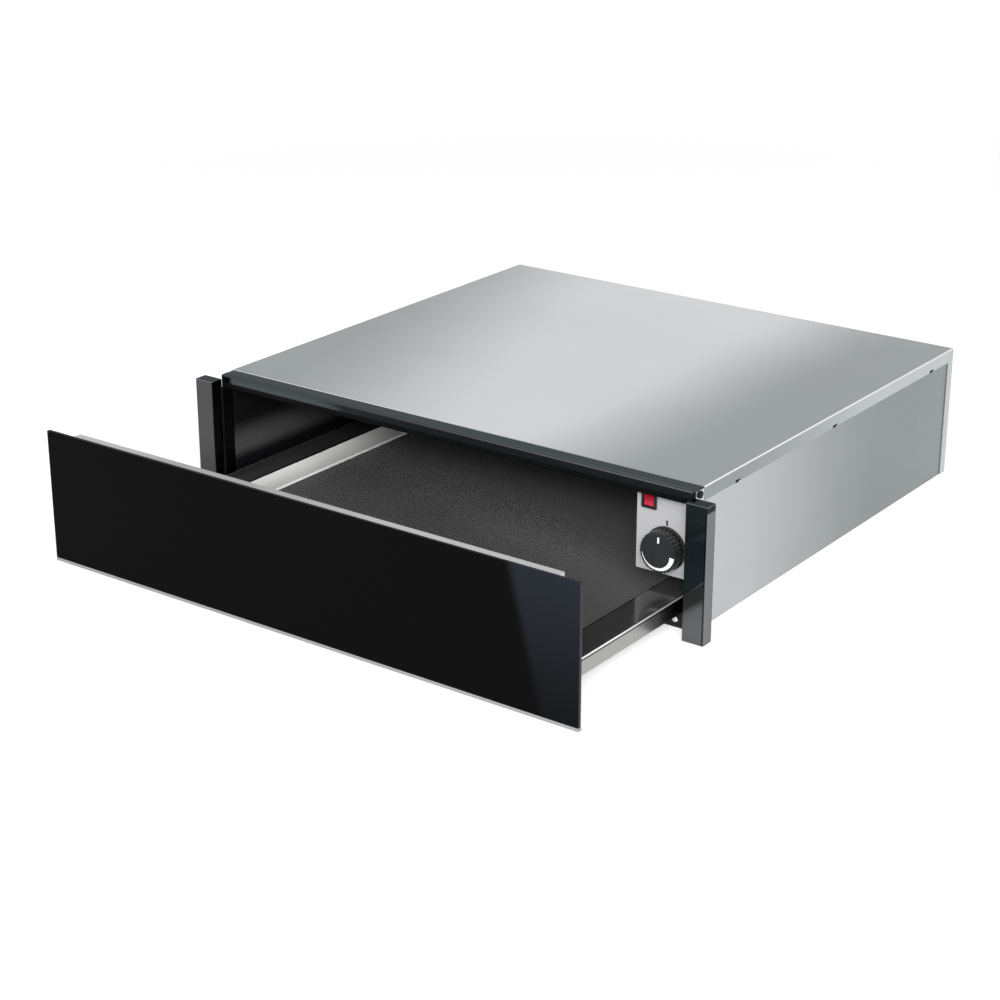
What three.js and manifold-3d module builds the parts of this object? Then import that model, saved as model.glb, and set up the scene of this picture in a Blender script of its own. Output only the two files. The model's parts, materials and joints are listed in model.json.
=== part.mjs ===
// A built-in warming drawer for a 60 cm kitchen niche, in millimetres, +X right, +Y into the cabinet, +Z up.
// It stands as it is shown to a buyer: the tray pulled part of the way out of the cabinet.
// The model is drawn with y = 0 on the front plane of the frame posts and z = 0 under the base pan. The last lines
// move it so that its origin lies under the middle of the base pan.

import * as THREE from "three";
import { mergeVertices } from "three/addons/utils/BufferGeometryUtils.js";
import Module from "manifold-3d";

const wasm = await Module();
wasm.setup();

// ---------------------------------------------------------------- driving dimensions

const SHEET = 1; // cabinet and tray sheet
const GAP = 0.3; // clearance between pieces that lie against each other
const RUNNING = 0.35; // clearance between pieces that move on each other

const cabinet = {
  width: 548,
  height: 135,
  front: 22, // base pan's front edge, behind the posts' front plane
  back: 519,
  sideSetBack: 0.5, // side panels' front edge behind the posts' rear face
  topFold: 13, // how far the top cover is folded down over the sides
  rearFold: 10.5, // how far the rear panel is folded round the sides
  topGap: 0.5, // between the top bar and the top cover
};

const post = { width: 22, depth: 14, bottom: 0.6, drop: 5.6, wall: 2, legDepth: 12, legSheet: 1, edge: 1.2 };

const bar = { depth: 15.5, height: 8, chamfer: 1.6 };
const seal = { setBack: 1, height: 5.6, depth: 11, base: 3.2, lip: 3, edge: 1.2 };

const cross = { height: 6.5, earHeight: 16.2, sheet: 1.5, lip: 12 };

const front = {
  width: 597,
  glassHeight: 127,
  glass: 4,
  bottom: 3.2, // lowest edge of the glass over the base
  trim: 2.9,
  carrierInset: 26.5, // carrier's end to the glass's end
  carrierDrop: 3, // carrier's top under the glass's top
  carrierDepth: 12,
  out: 195, // how far the glass's face stands in front of the posts
  closedGap: 1, // glass to posts when the drawer is shut
};

const tray = {
  innerWidth: 462,
  rimWidth: 31.8, // from the tray's inner wall to the outer face of the skirt
  rimTop: 33.7,
  floor: 11, // top face of the tray's floor
  depth: 436,
  skirtHeight: 16.1,
  skirtBead: 0.8,
  capSheet: 1,
  matThickness: 2.1,
  matGap: 1.6,
};

const slide = {
  height: 23.2,
  bottom: 8.2,
  sheet: 1.2,
  cabinetReach: 8.4, // depth of the cabinet rail's channel
  cabinetLength: 420,
  movingLength: 400,
  start: 24,
  ball: 1.2, // radius of the ball track beads
};

const control = {
  plateLeft: 206,
  plateBottom: 43.5,
  plateSheet: 1,
  boxDepth: 62,
  knobX: 237.4,
  knobZ: 69,
  knobRadius: 19.2,
  skirtProud: 1.1, // how far the knob's skirt stands out past its grip
  knobDepth: 12.5,
  skirtDepth: 1.6,
  flutes: 24,
  shaftRadius: 3,
  shaftFlat: 2.2,
  bushRadius: 5,
  thermostatWidth: 34,
  thermostatDepth: 28,
};

const rocker = {
  left: 211.8,
  bottom: 102.9,
  bezelWidth: 15,
  bezelHeight: 17.2,
  bezelProud: 2.4,
  bezelRim: 2.1,
  bodyInset: 1.3, // how much narrower the body behind the bezel is, all round
  bodyDepth: 18,
  tilt: 7, // resting tilt of the rocker either way, in degrees
};

const heater = {
  baffleY: 456,
  wheelRadius: 42,
  wheelWidth: 20,
  wheelHub: 9,
  blades: 20,
  axisZ: 66,
  rodRadius: 3.2,
  loopClearance: 2.8, // between the fan wheel and the element's loop round it
  loopStraight: 70, // how far the loop's straight runs go past the wheel's axis
  motorRadius: 28,
  motorDepth: 24,
  shaftRadius: 2.5,
};

const latch = { width: 24, height: 7.8, depth: 52, plungerRadius: 2.6, stroke: 4 };

// ---------------------------------------------------------------- geometry helpers

const solidOf = (geometry) => {
  const bare = geometry.clone();
  for (const name of Object.keys(bare.attributes)) if (name !== "position") bare.deleteAttribute(name);
  const merged = mergeVertices(bare, 1e-4);
  return new wasm.Manifold(
    new wasm.Mesh({
      numProp: 3,
      vertProperties: new Float32Array(merged.attributes.position.array),
      triVerts: new Uint32Array(merged.index.array),
    }),
  );
};

const geometryOf = (solid) => {
  const mesh = solid.getMesh();
  const positions = new Float32Array(mesh.numVert * 3);
  for (let i = 0; i < mesh.numVert; i++) {
    positions.set(mesh.vertProperties.subarray(i * mesh.numProp, i * mesh.numProp + 3), i * 3);
  }
  const geometry = new THREE.BufferGeometry();
  geometry.setAttribute("position", new THREE.BufferAttribute(positions, 3));
  geometry.setIndex(new THREE.BufferAttribute(new Uint32Array(mesh.triVerts), 1));
  return geometry;
};

const join = (first, ...others) => geometryOf(others.reduce((all, one) => all.add(solidOf(one)), solidOf(first)));
const cut = (first, ...others) => geometryOf(others.reduce((all, one) => all.subtract(solidOf(one)), solidOf(first)));

// A box from its limits: [low, high] along x, y and z.
const block = ([x0, x1], [y0, y1], [z0, z1]) => {
  const geometry = new THREE.BoxGeometry(Math.abs(x1 - x0), y1 - y0, z1 - z0);
  geometry.translate((x0 + x1) / 2, (y0 + y1) / 2, (z0 + z1) / 2);
  return geometry;
};

// An outline through the given [u, v] corners; a third number rounds that corner.
const outline = (corners) => {
  const shape = new THREE.Shape();
  const at = (i) => corners[(i + corners.length) % corners.length];
  const towards = (from, to, distance) => {
    const length = Math.hypot(to[0] - from[0], to[1] - from[1]);
    return [from[0] + ((to[0] - from[0]) * distance) / length, from[1] + ((to[1] - from[1]) * distance) / length];
  };
  corners.forEach((corner, i) => {
    const radius = corner[2] || 0;
    const enter = radius ? towards(corner, at(i - 1), radius) : corner;
    if (i === 0) shape.moveTo(enter[0], enter[1]);
    else shape.lineTo(enter[0], enter[1]);
    if (radius) {
      const leave = towards(corner, at(i + 1), radius);
      shape.quadraticCurveTo(corner[0], corner[1], leave[0], leave[1]);
    }
  });
  shape.closePath();
  return shape;
};

// A shape drawn in (y, z) and drawn out along x, in (x, z) along y, or in (x, y) along z.
const drawn = {
  x: new THREE.Matrix4().set(0, 0, 1, 0, 1, 0, 0, 0, 0, 1, 0, 0, 0, 0, 0, 1),
  y: new THREE.Matrix4().set(1, 0, 0, 0, 0, 0, -1, 0, 0, 1, 0, 0, 0, 0, 0, 1),
  z: new THREE.Matrix4(),
};
const prism = (shape, axis, [from, to], curveSegments = 4) => {
  const geometry = new THREE.ExtrudeGeometry(shape, { depth: to - from, bevelEnabled: false, curveSegments });
  geometry.translate(0, 0, axis === "y" ? -to : from);
  return geometry.applyMatrix4(drawn[axis]);
};

// A round bar from one end to the other along an axis through the two other coordinates.
const rod = (radius, axis, [from, to], [a, b], segments = 24) => {
  const geometry = new THREE.CylinderGeometry(radius, radius, to - from, segments);
  if (axis === "x") geometry.rotateZ(-Math.PI / 2).translate((from + to) / 2, a, b);
  if (axis === "y") geometry.translate(0, (from + to) / 2, 0).translate(a, 0, b);
  if (axis === "z") geometry.rotateX(Math.PI / 2).translate(a, b, (from + to) / 2);
  return geometry;
};

// A solid of revolution about the y axis, from [radius, y] points that start and end on the axis.
const turned = (points, [x, z], segments = 40) =>
  new THREE.LatheGeometry(points.map(([r, y]) => new THREE.Vector2(r, y)), segments).translate(x, 0, z);

// A tube along a curve, with closed ends.
const tube = (curve, radius, steps, sides = 8) => {
  const section = new THREE.Shape();
  for (let i = 0; i < sides; i++) {
    const angle = (2 * Math.PI * i) / sides;
    const point = [radius * Math.cos(angle), radius * Math.sin(angle)];
    if (i === 0) section.moveTo(...point);
    else section.lineTo(...point);
  }
  section.closePath();
  return new THREE.ExtrudeGeometry(section, { steps, extrudePath: curve, bevelEnabled: false, curveSegments: 1 });
};

const sides = { left: -1, right: 1 };
// The span between two distances from the middle plane, on one side of it.
const span = (side, near, far) => (side > 0 ? [near, far] : [-far, -near]);

// ---------------------------------------------------------------- derived places

const half = cabinet.width / 2;
const panelOuter = half - SHEET; // side panels stand inside the folds of the top cover and rear panel
const panelInner = panelOuter - SHEET;
const legInner = panelInner - post.legSheet;
const linerInner = legInner - SHEET;
const postInner = half - 0.4;
const postOuter = postInner + post.width;
const topUnder = cabinet.height - SHEET;
const foldFoot = cabinet.height - cabinet.topFold;
const rearInner = cabinet.back - SHEET;
const sideFront = post.depth + cabinet.sideSetBack;
const postTop = cabinet.height - post.drop;
const rearFoldFront = cabinet.back - cabinet.rearFold;

const barTop = cabinet.height - GAP;
const barFoot = barTop - bar.height;
const barFront = post.depth; // the bar's face lies in the plane of the posts' rear faces
const barBack = barFront + bar.depth;
const topFront = barBack + cabinet.topGap;
const plateFront = topFront; // the control plate hangs from the upper cross member
const barHalf = panelInner + 0.6;
const sealFoot = barFoot - seal.height;
const ceiling = sealFoot; // everything in the cavity stays under this height
const wallTop = ceiling - GAP;

const frontFace = -front.out;
const glassBack = frontFace + front.glass;
const carrierBack = glassBack + front.carrierDepth;
const innerPanelBack = carrierBack + SHEET;
const glassTop = front.bottom + front.glassHeight;
const carrierTop = glassTop - front.carrierDrop;
const carrierHalf = front.width / 2 - front.carrierInset;
const closing = -front.closedGap - glassBack; // travel from the shown place to shut

const trayFront = innerPanelBack;
const trayBack = trayFront + tray.depth;
const trayInner = tray.innerWidth / 2;
const trayOuter = trayInner + SHEET;
const skirtOuter = trayInner + tray.rimWidth;
const skirtInner = skirtOuter - SHEET;
const flangeReach = skirtOuter - 2 * tray.skirtBead - GAP;
const flangeTop = tray.rimTop - tray.capSheet;
const flangeFoot = flangeTop - SHEET;
const skirtFoot = tray.rimTop - tray.skirtHeight;
const matTop = tray.floor + tray.matThickness;

const slideTop = slide.bottom + slide.height;
const slideMiddle = (slide.bottom + slideTop) / 2;
const railOuter = trayOuter + slide.cabinetReach + 5.6; // outer face of the cabinet rail's web
const railWeb = railOuter - slide.sheet;

const plateRight = linerInner - GAP;
const plateTop = wallTop;
const plateBack = plateFront + control.plateSheet;
const knobBack = plateFront - GAP;
const knobFront = knobBack - control.knobDepth - control.skirtDepth + GAP;
const boxBack = plateBack + control.boxDepth;

const fanY = heater.baffleY + 6;
const bracketY = fanY + heater.wheelWidth + 3;
const motorY = bracketY + slide.sheet + GAP;

// ---------------------------------------------------------------- materials

const finish = (color, roughness, metalness) => new THREE.MeshStandardMaterial({ color, roughness, metalness });
const sheetSteel = () => finish(0xa4aaab, 0.42, 1);
const polishedDark = () => finish(0x23282b, 0.12, 0.8);
const blackSteel = () => finish(0x0e0f10, 0.35, 0.3);
const darkWall = () => finish(0x1d1e1f, 0.2, 0.5);
const silver = () => finish(0xc2c4c5, 0.35, 1);
const brightSteel = () => finish(0xcfcfca, 0.25, 1);
const zincSteel = () => finish(0xb6b9b8, 0.4, 1);
const blackPlastic = () => finish(0x151617, 0.4, 0);
const blackRubber = () => finish(0x0b0b0b, 0.8, 0);
const redPlastic = () => finish(0xc01226, 0.3, 0);
const matRubber = () => finish(0x3b3b3b, 0.9, 0);
const blackGlass = () => finish(0x0c0d10, 0.04, 0);
const copper = () => finish(0xb87333, 0.3, 1);
const woolMat = () => finish(0xd8d3c4, 0.95, 0);

const drawer = new THREE.Group();
const body = new THREE.Group();
const add = (group, name, geometry, material) => {
  const mesh = new THREE.Mesh(geometry, material);
  mesh.name = name;
  group.add(mesh);
  return mesh;
};

// ---------------------------------------------------------------- cabinet shell

// Slots in the lower edge of each side fold, where the cover is clipped to the side panel.
const clip = { places: [87, 266, 470], length: 8, height: 2.2 };
const clipSlots = (side, clearance, [low, high]) =>
  clip.places.map((y) => {
    const reach = clip.length / 2 - clearance;
    return block(span(side, panelInner - 1, half + 1), [y - reach, y + reach], [low, high]);
  });

// The mitre between the cover's side fold and the rear panel's: the cover's fold ends at it, and the rear panel's
// begins a gap behind it.
const mitre = (shift, [near, far]) => {
  const rise = { y: rearInner - rearFoldFront, z: topUnder - foldFoot };
  const at = (share) => [rearFoldFront + share * rise.y - shift, foldFoot + share * rise.z + shift - GAP];
  return { low: at(near), high: at(far) };
};

function topCover() {
  const shell = block([-half, half], [topFront, cabinet.back], [foldFoot, cabinet.height]);
  const inside = block([-panelOuter, panelOuter], [topFront - 1, cabinet.back + 1], [foldFoot - 1, topUnder]);
  const { low } = mitre(GAP, [-0.2, 1]);
  const corner = [rearInner - GAP, topUnder];
  const behind = outline([low, corner, [cabinet.back + 1, topUnder], [cabinet.back + 1, low[1]]]);
  const mitres = Object.values(sides).map((side) => prism(behind, "x", span(side, panelOuter - 1, half + 1)));
  const slots = Object.values(sides).flatMap((side) => clipSlots(side, 0, [foldFoot - 1, foldFoot + clip.height]));
  add(body, "top_cover", cut(shell, inside, ...mitres, ...slots), sheetSteel());
}

function sidePanel(name, side) {
  const panel = prism(
    outline([
      [sideFront, 0],
      [rearInner, 0],
      [rearInner, topUnder],
      [topFront, topUnder],
      [topFront, wallTop],
      [sideFront, wallTop],
    ]),
    "x",
    span(side, panelInner, panelOuter),
  );
  const holes = clipSlots(side, GAP, [foldFoot - clip.height / 2, foldFoot + clip.height - GAP]);
  add(body, `${name}_side_panel`, cut(panel, ...holes), sheetSteel());
}

const gland = { x: 190, z: 30, radius: 7.6, bore: 3.6, nut: 11, proud: 10, inside: 8 };
const vents = { rows: 6, pitch: 9, length: 70, width: 3.4 };

const capsule = (u, v, length, width) => {
  const path = new THREE.Shape();
  const reach = (length - width) / 2;
  path.absarc(u + reach, v, width / 2, -Math.PI / 2, Math.PI / 2);
  path.absarc(u - reach, v, width / 2, Math.PI / 2, (3 * Math.PI) / 2);
  path.closePath();
  return path;
};
const round = (u, v, radius) => {
  const path = new THREE.Path();
  path.absarc(u, v, radius, 0, 2 * Math.PI);
  return path;
};
const rectangle = ([u0, u1], [v0, v1], holes = []) => {
  const shape = outline([
    [u0, v0],
    [u1, v0],
    [u1, v1],
    [u0, v1],
  ]);
  shape.holes.push(...holes);
  return shape;
};

function rearPanel() {
  const top = topUnder - GAP;
  const shell = block([-half, half], [rearFoldFront, cabinet.back], [0, top]);
  const inside = block([-panelOuter, panelOuter], [rearFoldFront - 1, rearInner], [-1, top + 1]);
  const { low, high } = mitre(0, [-0.2, 1.2]);
  const above = prism(outline([low, high, [low[0], high[1]]]), "x", [-half - 1, half + 1]);
  const through = [rearInner - 1, cabinet.back + 1];
  const louvres = [];
  for (let row = 0; row < vents.rows; row++) {
    const z = heater.axisZ + (row - (vents.rows - 1) / 2) * vents.pitch;
    louvres.push(prism(capsule(0, z, vents.length, vents.width), "y", through));
  }
  const glandHole = rod(gland.radius + GAP, "y", through, [gland.x, gland.z], 24);
  add(body, "rear_panel", cut(shell, inside, above, ...louvres, glandHole), sheetSteel());
}

const panFront = cabinet.front + cross.sheet;
const pan = { flange: 10 };

function basePan() {
  const legBack = post.depth + post.legDepth + GAP;
  const tongue = legInner - GAP; // between the posts' inner legs
  const shell = block([-panelInner, panelInner], [panFront, rearInner], [0, SHEET + pan.flange]);
  const inside = block([-legInner, legInner], [panFront - 1, rearInner - SHEET], [SHEET, SHEET + pan.flange + 1]);
  const notches = Object.values(sides).map((side) =>
    block(span(side, tongue, panelInner + 1), [panFront - 2, legBack], [-1, SHEET + pan.flange + 2]),
  );
  add(body, "base_pan", cut(shell, inside, ...notches), zincSteel());
}

// ---------------------------------------------------------------- front frame

function framePost(name, side) {
  const section = (points) => outline(points.map(([x, y, r]) => [side * x, y, r || 0]));
  const shell = prism(
    section([
      [postInner, 0, post.edge],
      [postOuter, 0, post.edge],
      [postOuter, post.depth, post.edge],
      [postInner, post.depth],
    ]),
    "z",
    [post.bottom, postTop],
  );
  const bore = block(
    span(side, postInner + post.wall, postOuter - post.wall),
    [post.wall, post.depth - post.wall],
    [post.bottom - 1, postTop - post.wall],
  );
  const leg = prism(
    section([
      [legInner, post.depth - post.wall],
      [postInner + post.wall / 2, post.depth - post.wall],
      [postInner + post.wall / 2, post.depth - GAP],
      [panelInner, post.depth - GAP],
      [panelInner, post.depth + post.legDepth],
      [legInner, post.depth + post.legDepth],
    ]),
    "z",
    [post.bottom, wallTop],
  );
  add(body, `${name}_frame_post`, join(cut(shell, bore), leg), polishedDark());
}

function topBar() {
  const section = outline([
    [barFront, barFoot],
    [barBack, barFoot],
    [barBack, barTop],
    [barFront + bar.chamfer, barTop],
    [barFront, barTop - bar.chamfer],
  ]);
  const screwHoles = Object.values(sides).map((side) =>
    rod(corner.shank + GAP, "x", span(side, barHalf - corner.depth, barHalf + 1), [corner.y, corner.z], 16),
  );
  add(body, "top_bar", cut(prism(section, "x", [-barHalf, barHalf]), ...screwHoles), polishedDark());
}

function barSeal() {
  const face = barFront + seal.setBack;
  const section = outline([
    [face, sealFoot, seal.edge],
    [face, barFoot],
    [face + seal.depth, barFoot],
    [face + seal.depth, barFoot - seal.base],
    [face + seal.lip, barFoot - seal.base],
    [face + seal.lip, sealFoot],
  ]);
  add(body, "bar_seal", prism(section, "x", [-legInner + GAP, legInner - GAP]), blackRubber());
}

// The screw that ties each end of the bar to its corner plate.
const corner = {
  y: 22.4,
  z: barFoot + 3.4,
  plateFoot: topUnder - 26,
  plateSetBack: 2.4, // behind the posts' rear faces, which lie against the niche
  head: 3.5,
  headHeight: 1.8,
  shank: 1.6,
  depth: 12,
};

function cornerPlate(name, side) {
  const plate = block(
    span(side, panelOuter, half),
    [post.depth + corner.plateSetBack, topFront - GAP],
    [corner.plateFoot, topUnder - GAP],
  );
  const hole = rod(corner.shank + GAP, "x", span(side, panelOuter - 1, half + 1), [corner.y, corner.z], 16);
  add(body, `${name}_corner_plate`, cut(plate, hole), zincSteel());
  const head = rod(corner.head, "x", span(side, half, half + corner.headHeight), [corner.y, corner.z], 16);
  const shank = rod(
    corner.shank,
    "x",
    span(side, barHalf - corner.depth + 1, half + 0.5),
    [corner.y, corner.z],
    16,
  );
  add(body, `${name}_corner_screw`, join(head, shank), blackSteel());
}

const crossScrew = { x: 253.6, z: 8.4, head: 3.3, headHeight: 1.7, shank: 1.7, length: 9 };
const earInner = railOuter + slide.sheet + GAP;
const crossHalf = legInner - GAP;

function lowerCrossMember() {
  const low = 0.2;
  const shape = outline([
    [-crossHalf, low],
    [crossHalf, low],
    [crossHalf, cross.earHeight],
    [earInner, cross.earHeight],
    [earInner, cross.height],
    [-earInner, cross.height],
    [-earInner, cross.earHeight],
    [-crossHalf, cross.earHeight],
  ]);
  shape.holes.push(...Object.values(sides).map((s) => round(s * crossScrew.x, crossScrew.z, crossScrew.shank + GAP)));
  const web = prism(shape, "y", [cabinet.front, panFront]);
  const lip = block([-earInner, earInner], [panFront - 0.5, panFront + cross.lip], [SHEET, SHEET + slide.sheet]);
  add(body, "lower_cross_member", join(web, lip), blackSteel());
}

function crossMemberScrew(name, side) {
  const at = [side * crossScrew.x, crossScrew.z];
  const head = rod(crossScrew.head, "y", [cabinet.front - crossScrew.headHeight, cabinet.front], at, 16);
  const shank = rod(crossScrew.shank, "y", [cabinet.front - 0.5, cabinet.front + crossScrew.length], at, 16);
  add(body, `${name}_cross_screw`, join(head, shank), silver());
}

const upperDepth = 15;
function upperCrossMember() {
  const y = [topFront, topFront + upperDepth];
  const across = [-panelInner + GAP, panelInner - GAP];
  const top = topUnder - GAP;
  const web = block(across, [y[0], y[0] + slide.sheet], [ceiling, top]);
  const upper = block(across, y, [top - slide.sheet, top]);
  const lower = block(across, y, [ceiling, ceiling + slide.sheet]);
  add(body, "upper_cross_member", join(web, upper, lower), zincSteel());
}

// ---------------------------------------------------------------- cavity

const cavityFront = post.depth + post.legDepth + GAP;

function cavityWall(name, side) {
  const wall = block(span(side, linerInner, legInner), [cavityFront, heater.baffleY - GAP], [SHEET, wallTop]);
  add(body, `${name}_cavity_wall`, wall, darkWall());
}

const harness = { x: 240, radius: 3.5, z: ceiling + SHEET + 5.1 };
function cavityCeiling() {
  const shape = rectangle(
    [-linerInner, linerInner],
    [topFront + upperDepth + GAP, heater.baffleY - GAP],
    [round(harness.x, boxBack - 20, harness.radius + 2)],
  );
  add(body, "cavity_ceiling", prism(shape, "z", [ceiling, ceiling + SHEET]), darkWall());
}

function ceilingInsulation() {
  const blanket = block(
    [-legInner + 8, harness.x - harness.radius - 8],
    [topFront + upperDepth + 4, heater.baffleY - 6],
    [ceiling + SHEET, topUnder - GAP],
  );
  add(body, "ceiling_insulation", blanket, woolMat());
}

const outlet = { slots: 5, pitch: 14, length: 74, width: 5, x: 185 };
const bulb = { x: 258, z: wallTop - 9.8, radius: 3, length: 62 };

function airBaffle() {
  const holes = [round(0, heater.axisZ, 4.2)];
  for (const [count, ring] of [
    [6, 11.5],
    [12, 22],
    [18, 32.5],
  ]) {
    for (let i = 0; i < count; i++) {
      const angle = (2 * Math.PI * i) / count;
      holes.push(round(ring * Math.cos(angle), heater.axisZ + ring * Math.sin(angle), 4));
    }
  }
  for (const side of Object.values(sides)) {
    for (let row = 0; row < outlet.slots; row++) {
      const z = heater.axisZ + (row - (outlet.slots - 1) / 2) * outlet.pitch;
      holes.push(capsule(side * outlet.x, z, outlet.length, outlet.width));
    }
  }
  const sheet = prism(
    rectangle([-legInner, legInner], [SHEET + pan.flange + GAP, ceiling + SHEET], holes),
    "y",
    [heater.baffleY, heater.baffleY + SHEET],
    3,
  );
  const bulbHole = rod(bulb.radius + GAP, "y", [heater.baffleY - 1, heater.baffleY + 2], [bulb.x, bulb.z], 16);
  add(body, "air_baffle", cut(sheet, bulbHole), darkWall());
}

// ---------------------------------------------------------------- controls

const bezel = {
  x: [rocker.left, rocker.left + rocker.bezelWidth],
  z: [rocker.bottom, rocker.bottom + rocker.bezelHeight],
  front: plateFront - rocker.bezelProud,
};
const pocket = {
  x: [bezel.x[0] + rocker.bezelRim, bezel.x[1] - rocker.bezelRim],
  z: [bezel.z[0] + rocker.bezelRim, bezel.z[1] - rocker.bezelRim],
};
const shrunk = ([low, high], by) => [low + by, high - by];

function controlPlate() {
  const holes = [round(control.knobX, control.knobZ, control.bushRadius + GAP)];
  const opening = new THREE.Path();
  const [x0, x1] = shrunk(bezel.x, rocker.bodyInset - GAP);
  const [z0, z1] = shrunk(bezel.z, rocker.bodyInset - GAP);
  opening.moveTo(x0, z0).lineTo(x1, z0).lineTo(x1, z1).lineTo(x0, z1).closePath();
  holes.push(opening);
  const plate = prism(
    rectangle([control.plateLeft, plateRight], [control.plateBottom, plateTop], holes),
    "y",
    [plateFront, plateBack],
    6,
  );
  add(body, "control_plate", plate, silver());
}

function controlBox() {
  const x = [control.plateLeft, plateRight];
  const z = [control.plateBottom, wallTop];
  const shell = block(x, [plateBack, boxBack], z);
  const hollow = block(shrunk(x, SHEET), [plateBack - 1, boxBack - SHEET], shrunk(z, SHEET));
  const harnessHole = rod(harness.radius + 2, "z", [z[1] - 2, z[1] + 1], [harness.x, boxBack - 20], 16);
  const tubeHole = rod(2.4, "y", [boxBack - 2, boxBack + 1], [bulb.x, bulb.z], 12);
  add(body, "control_box", cut(shell, hollow, harnessHole, tubeHole), darkWall());
}

function switchHousing() {
  const face = block(bezel.x, [bezel.front, plateFront], bezel.z);
  const back = block(
    shrunk(bezel.x, rocker.bodyInset),
    [plateFront - 1, plateFront + rocker.bodyDepth],
    shrunk(bezel.z, rocker.bodyInset),
  );
  const hollow = block(pocket.x, [bezel.front - 1, bezel.front + 10.4], pocket.z);
  const pinHole = rod(pin.radius + RUNNING, "x", shrunk(pocket.x, -pin.seat), [pin.y, pin.z], 16);
  add(body, "switch_housing", cut(join(face, back), hollow, pinHole), blackPlastic());
}

// The rocker turns on a pin across the housing. It is drawn level and then tilted to its resting place.
const pin = {
  radius: 1.1,
  y: bezel.front + 4.4,
  z: (bezel.z[0] + bezel.z[1]) / 2,
  seat: 0.5, // how far each end of the pin's hole goes into the housing's wall
};
function switchRocker() {
  const [x0, x1] = shrunk(pocket.x, RUNNING);
  const reach = (pocket.z[1] - pocket.z[0]) / 2 - 0.85;
  const paddle = prism(
    outline([
      [-4.6, reach],
      [-3.4, 0],
      [-4.6, -reach],
      [-0.8, 0.8 - reach],
      [3, -2],
      [3, 2],
      [-0.8, reach - 0.8],
    ]),
    "x",
    [x0, x1],
  );
  const axle = rod(pin.radius, "x", shrunk(pocket.x, 0.15 - pin.seat), [0, 0], 16);
  const mesh = add(body, "switch_rocker", join(paddle, axle), redPlastic());
  mesh.position.set(0, pin.y, pin.z);
  mesh.rotation.x = THREE.MathUtils.degToRad(rocker.tilt);
}

const bush = { from: plateFront - 2.4, bore: control.shaftRadius + RUNNING };
function thermostat() {
  const w = control.thermostatWidth / 2;
  const { knobX, knobZ } = control;
  const [y0, y1] = [plateBack, plateBack + control.thermostatDepth];
  const can = block([knobX - w, knobX + w], [y0, y1], [knobZ - w, knobZ + w]);
  const thread = rod(control.bushRadius, "y", [bush.from, y0 + 1], [knobX, knobZ], 24);
  const bore = rod(bush.bore, "y", [bush.from - 1, y0 + 12], [knobX, knobZ], 24);
  add(body, "thermostat", cut(join(can, thread), bore), zincSteel());
}

// The shaft has one flat, and the knob's bore follows it.
const shaftSection = (radius, flat) => {
  const shape = new THREE.Shape();
  const lean = Math.acos(flat / radius);
  shape.absarc(0, 0, radius, Math.PI / 2 + lean, Math.PI / 2 - lean + 2 * Math.PI, false);
  shape.closePath();
  return shape;
};

function thermostatShaft() {
  const shaft = prism(shaftSection(control.shaftRadius, control.shaftFlat), "y", [knobFront + 3.2, plateBack + 11], 24);
  shaft.translate(control.knobX, 0, control.knobZ);
  add(body, "thermostat_shaft", shaft, zincSteel());
}

function thermostatKnob() {
  const { knobRadius, knobX, knobZ, flutes } = control;
  const skirtRadius = knobRadius + control.skirtProud;
  const skirtFront = knobBack - control.skirtDepth;
  const outer = turned(
    [
      [0, knobFront],
      [knobRadius - 1, knobFront],
      [knobRadius, knobFront + 1],
      [knobRadius, skirtFront],
      [skirtRadius, skirtFront + 0.3],
      [skirtRadius, knobBack],
      [0, knobBack],
    ],
    [0, 0],
    48,
  );
  const grooves = [];
  for (let i = 0; i < flutes; i++) {
    const angle = (2 * Math.PI * (i + 0.5)) / flutes;
    const reach = knobRadius + 0.35;
    grooves.push(
      rod(1.1, "y", [knobFront - 1, skirtFront - 0.6], [reach * Math.cos(angle), reach * Math.sin(angle)], 8),
    );
  }
  const hollow = cut(
    rod(knobRadius - 2.4, "y", [knobFront + 2.4, knobBack + 1], [0, 0], 32),
    rod(5.2, "y", [knobFront + 1, bush.from - GAP], [0, 0], 24),
  );
  const bore = prism(shaftSection(control.shaftRadius + 0.1, control.shaftFlat + 0.1), "y",
    [knobFront + 2.9, knobBack + 1], 24);
  const knob = cut(outer, ...grooves, hollow, bore);
  knob.translate(knobX, 0, knobZ);
  add(body, "thermostat_knob", knob, blackPlastic());
}

// Lines, round bends and arcs joined into one route for a tube.
class Arc extends THREE.Curve {
  constructor(centre, from, to) {
    super();
    Object.assign(this, { centre, from, to });
  }
  getPoint(t, target = new THREE.Vector3()) {
    const swing = t * Math.PI;
    return target
      .copy(this.centre)
      .addScaledVector(this.from, Math.cos(swing))
      .addScaledVector(this.to, Math.sin(swing));
  }
}

// A route through corner points, each inner corner rounded by the same radius.
const route = (points, bend) => {
  const path = new THREE.CurvePath();
  const corners = points.map((p) => new THREE.Vector3(...p));
  let here = corners[0];
  for (let i = 1; i < corners.length - 1; i++) {
    const enter = corners[i].clone().sub(corners[i - 1]).setLength(bend).negate().add(corners[i]);
    const leave = corners[i + 1].clone().sub(corners[i]).setLength(bend).add(corners[i]);
    path.add(new THREE.LineCurve3(here, enter));
    path.add(new THREE.QuadraticBezierCurve3(enter, corners[i], leave));
    here = leave;
  }
  path.add(new THREE.LineCurve3(here, corners[corners.length - 1]));
  return path;
};

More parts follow.
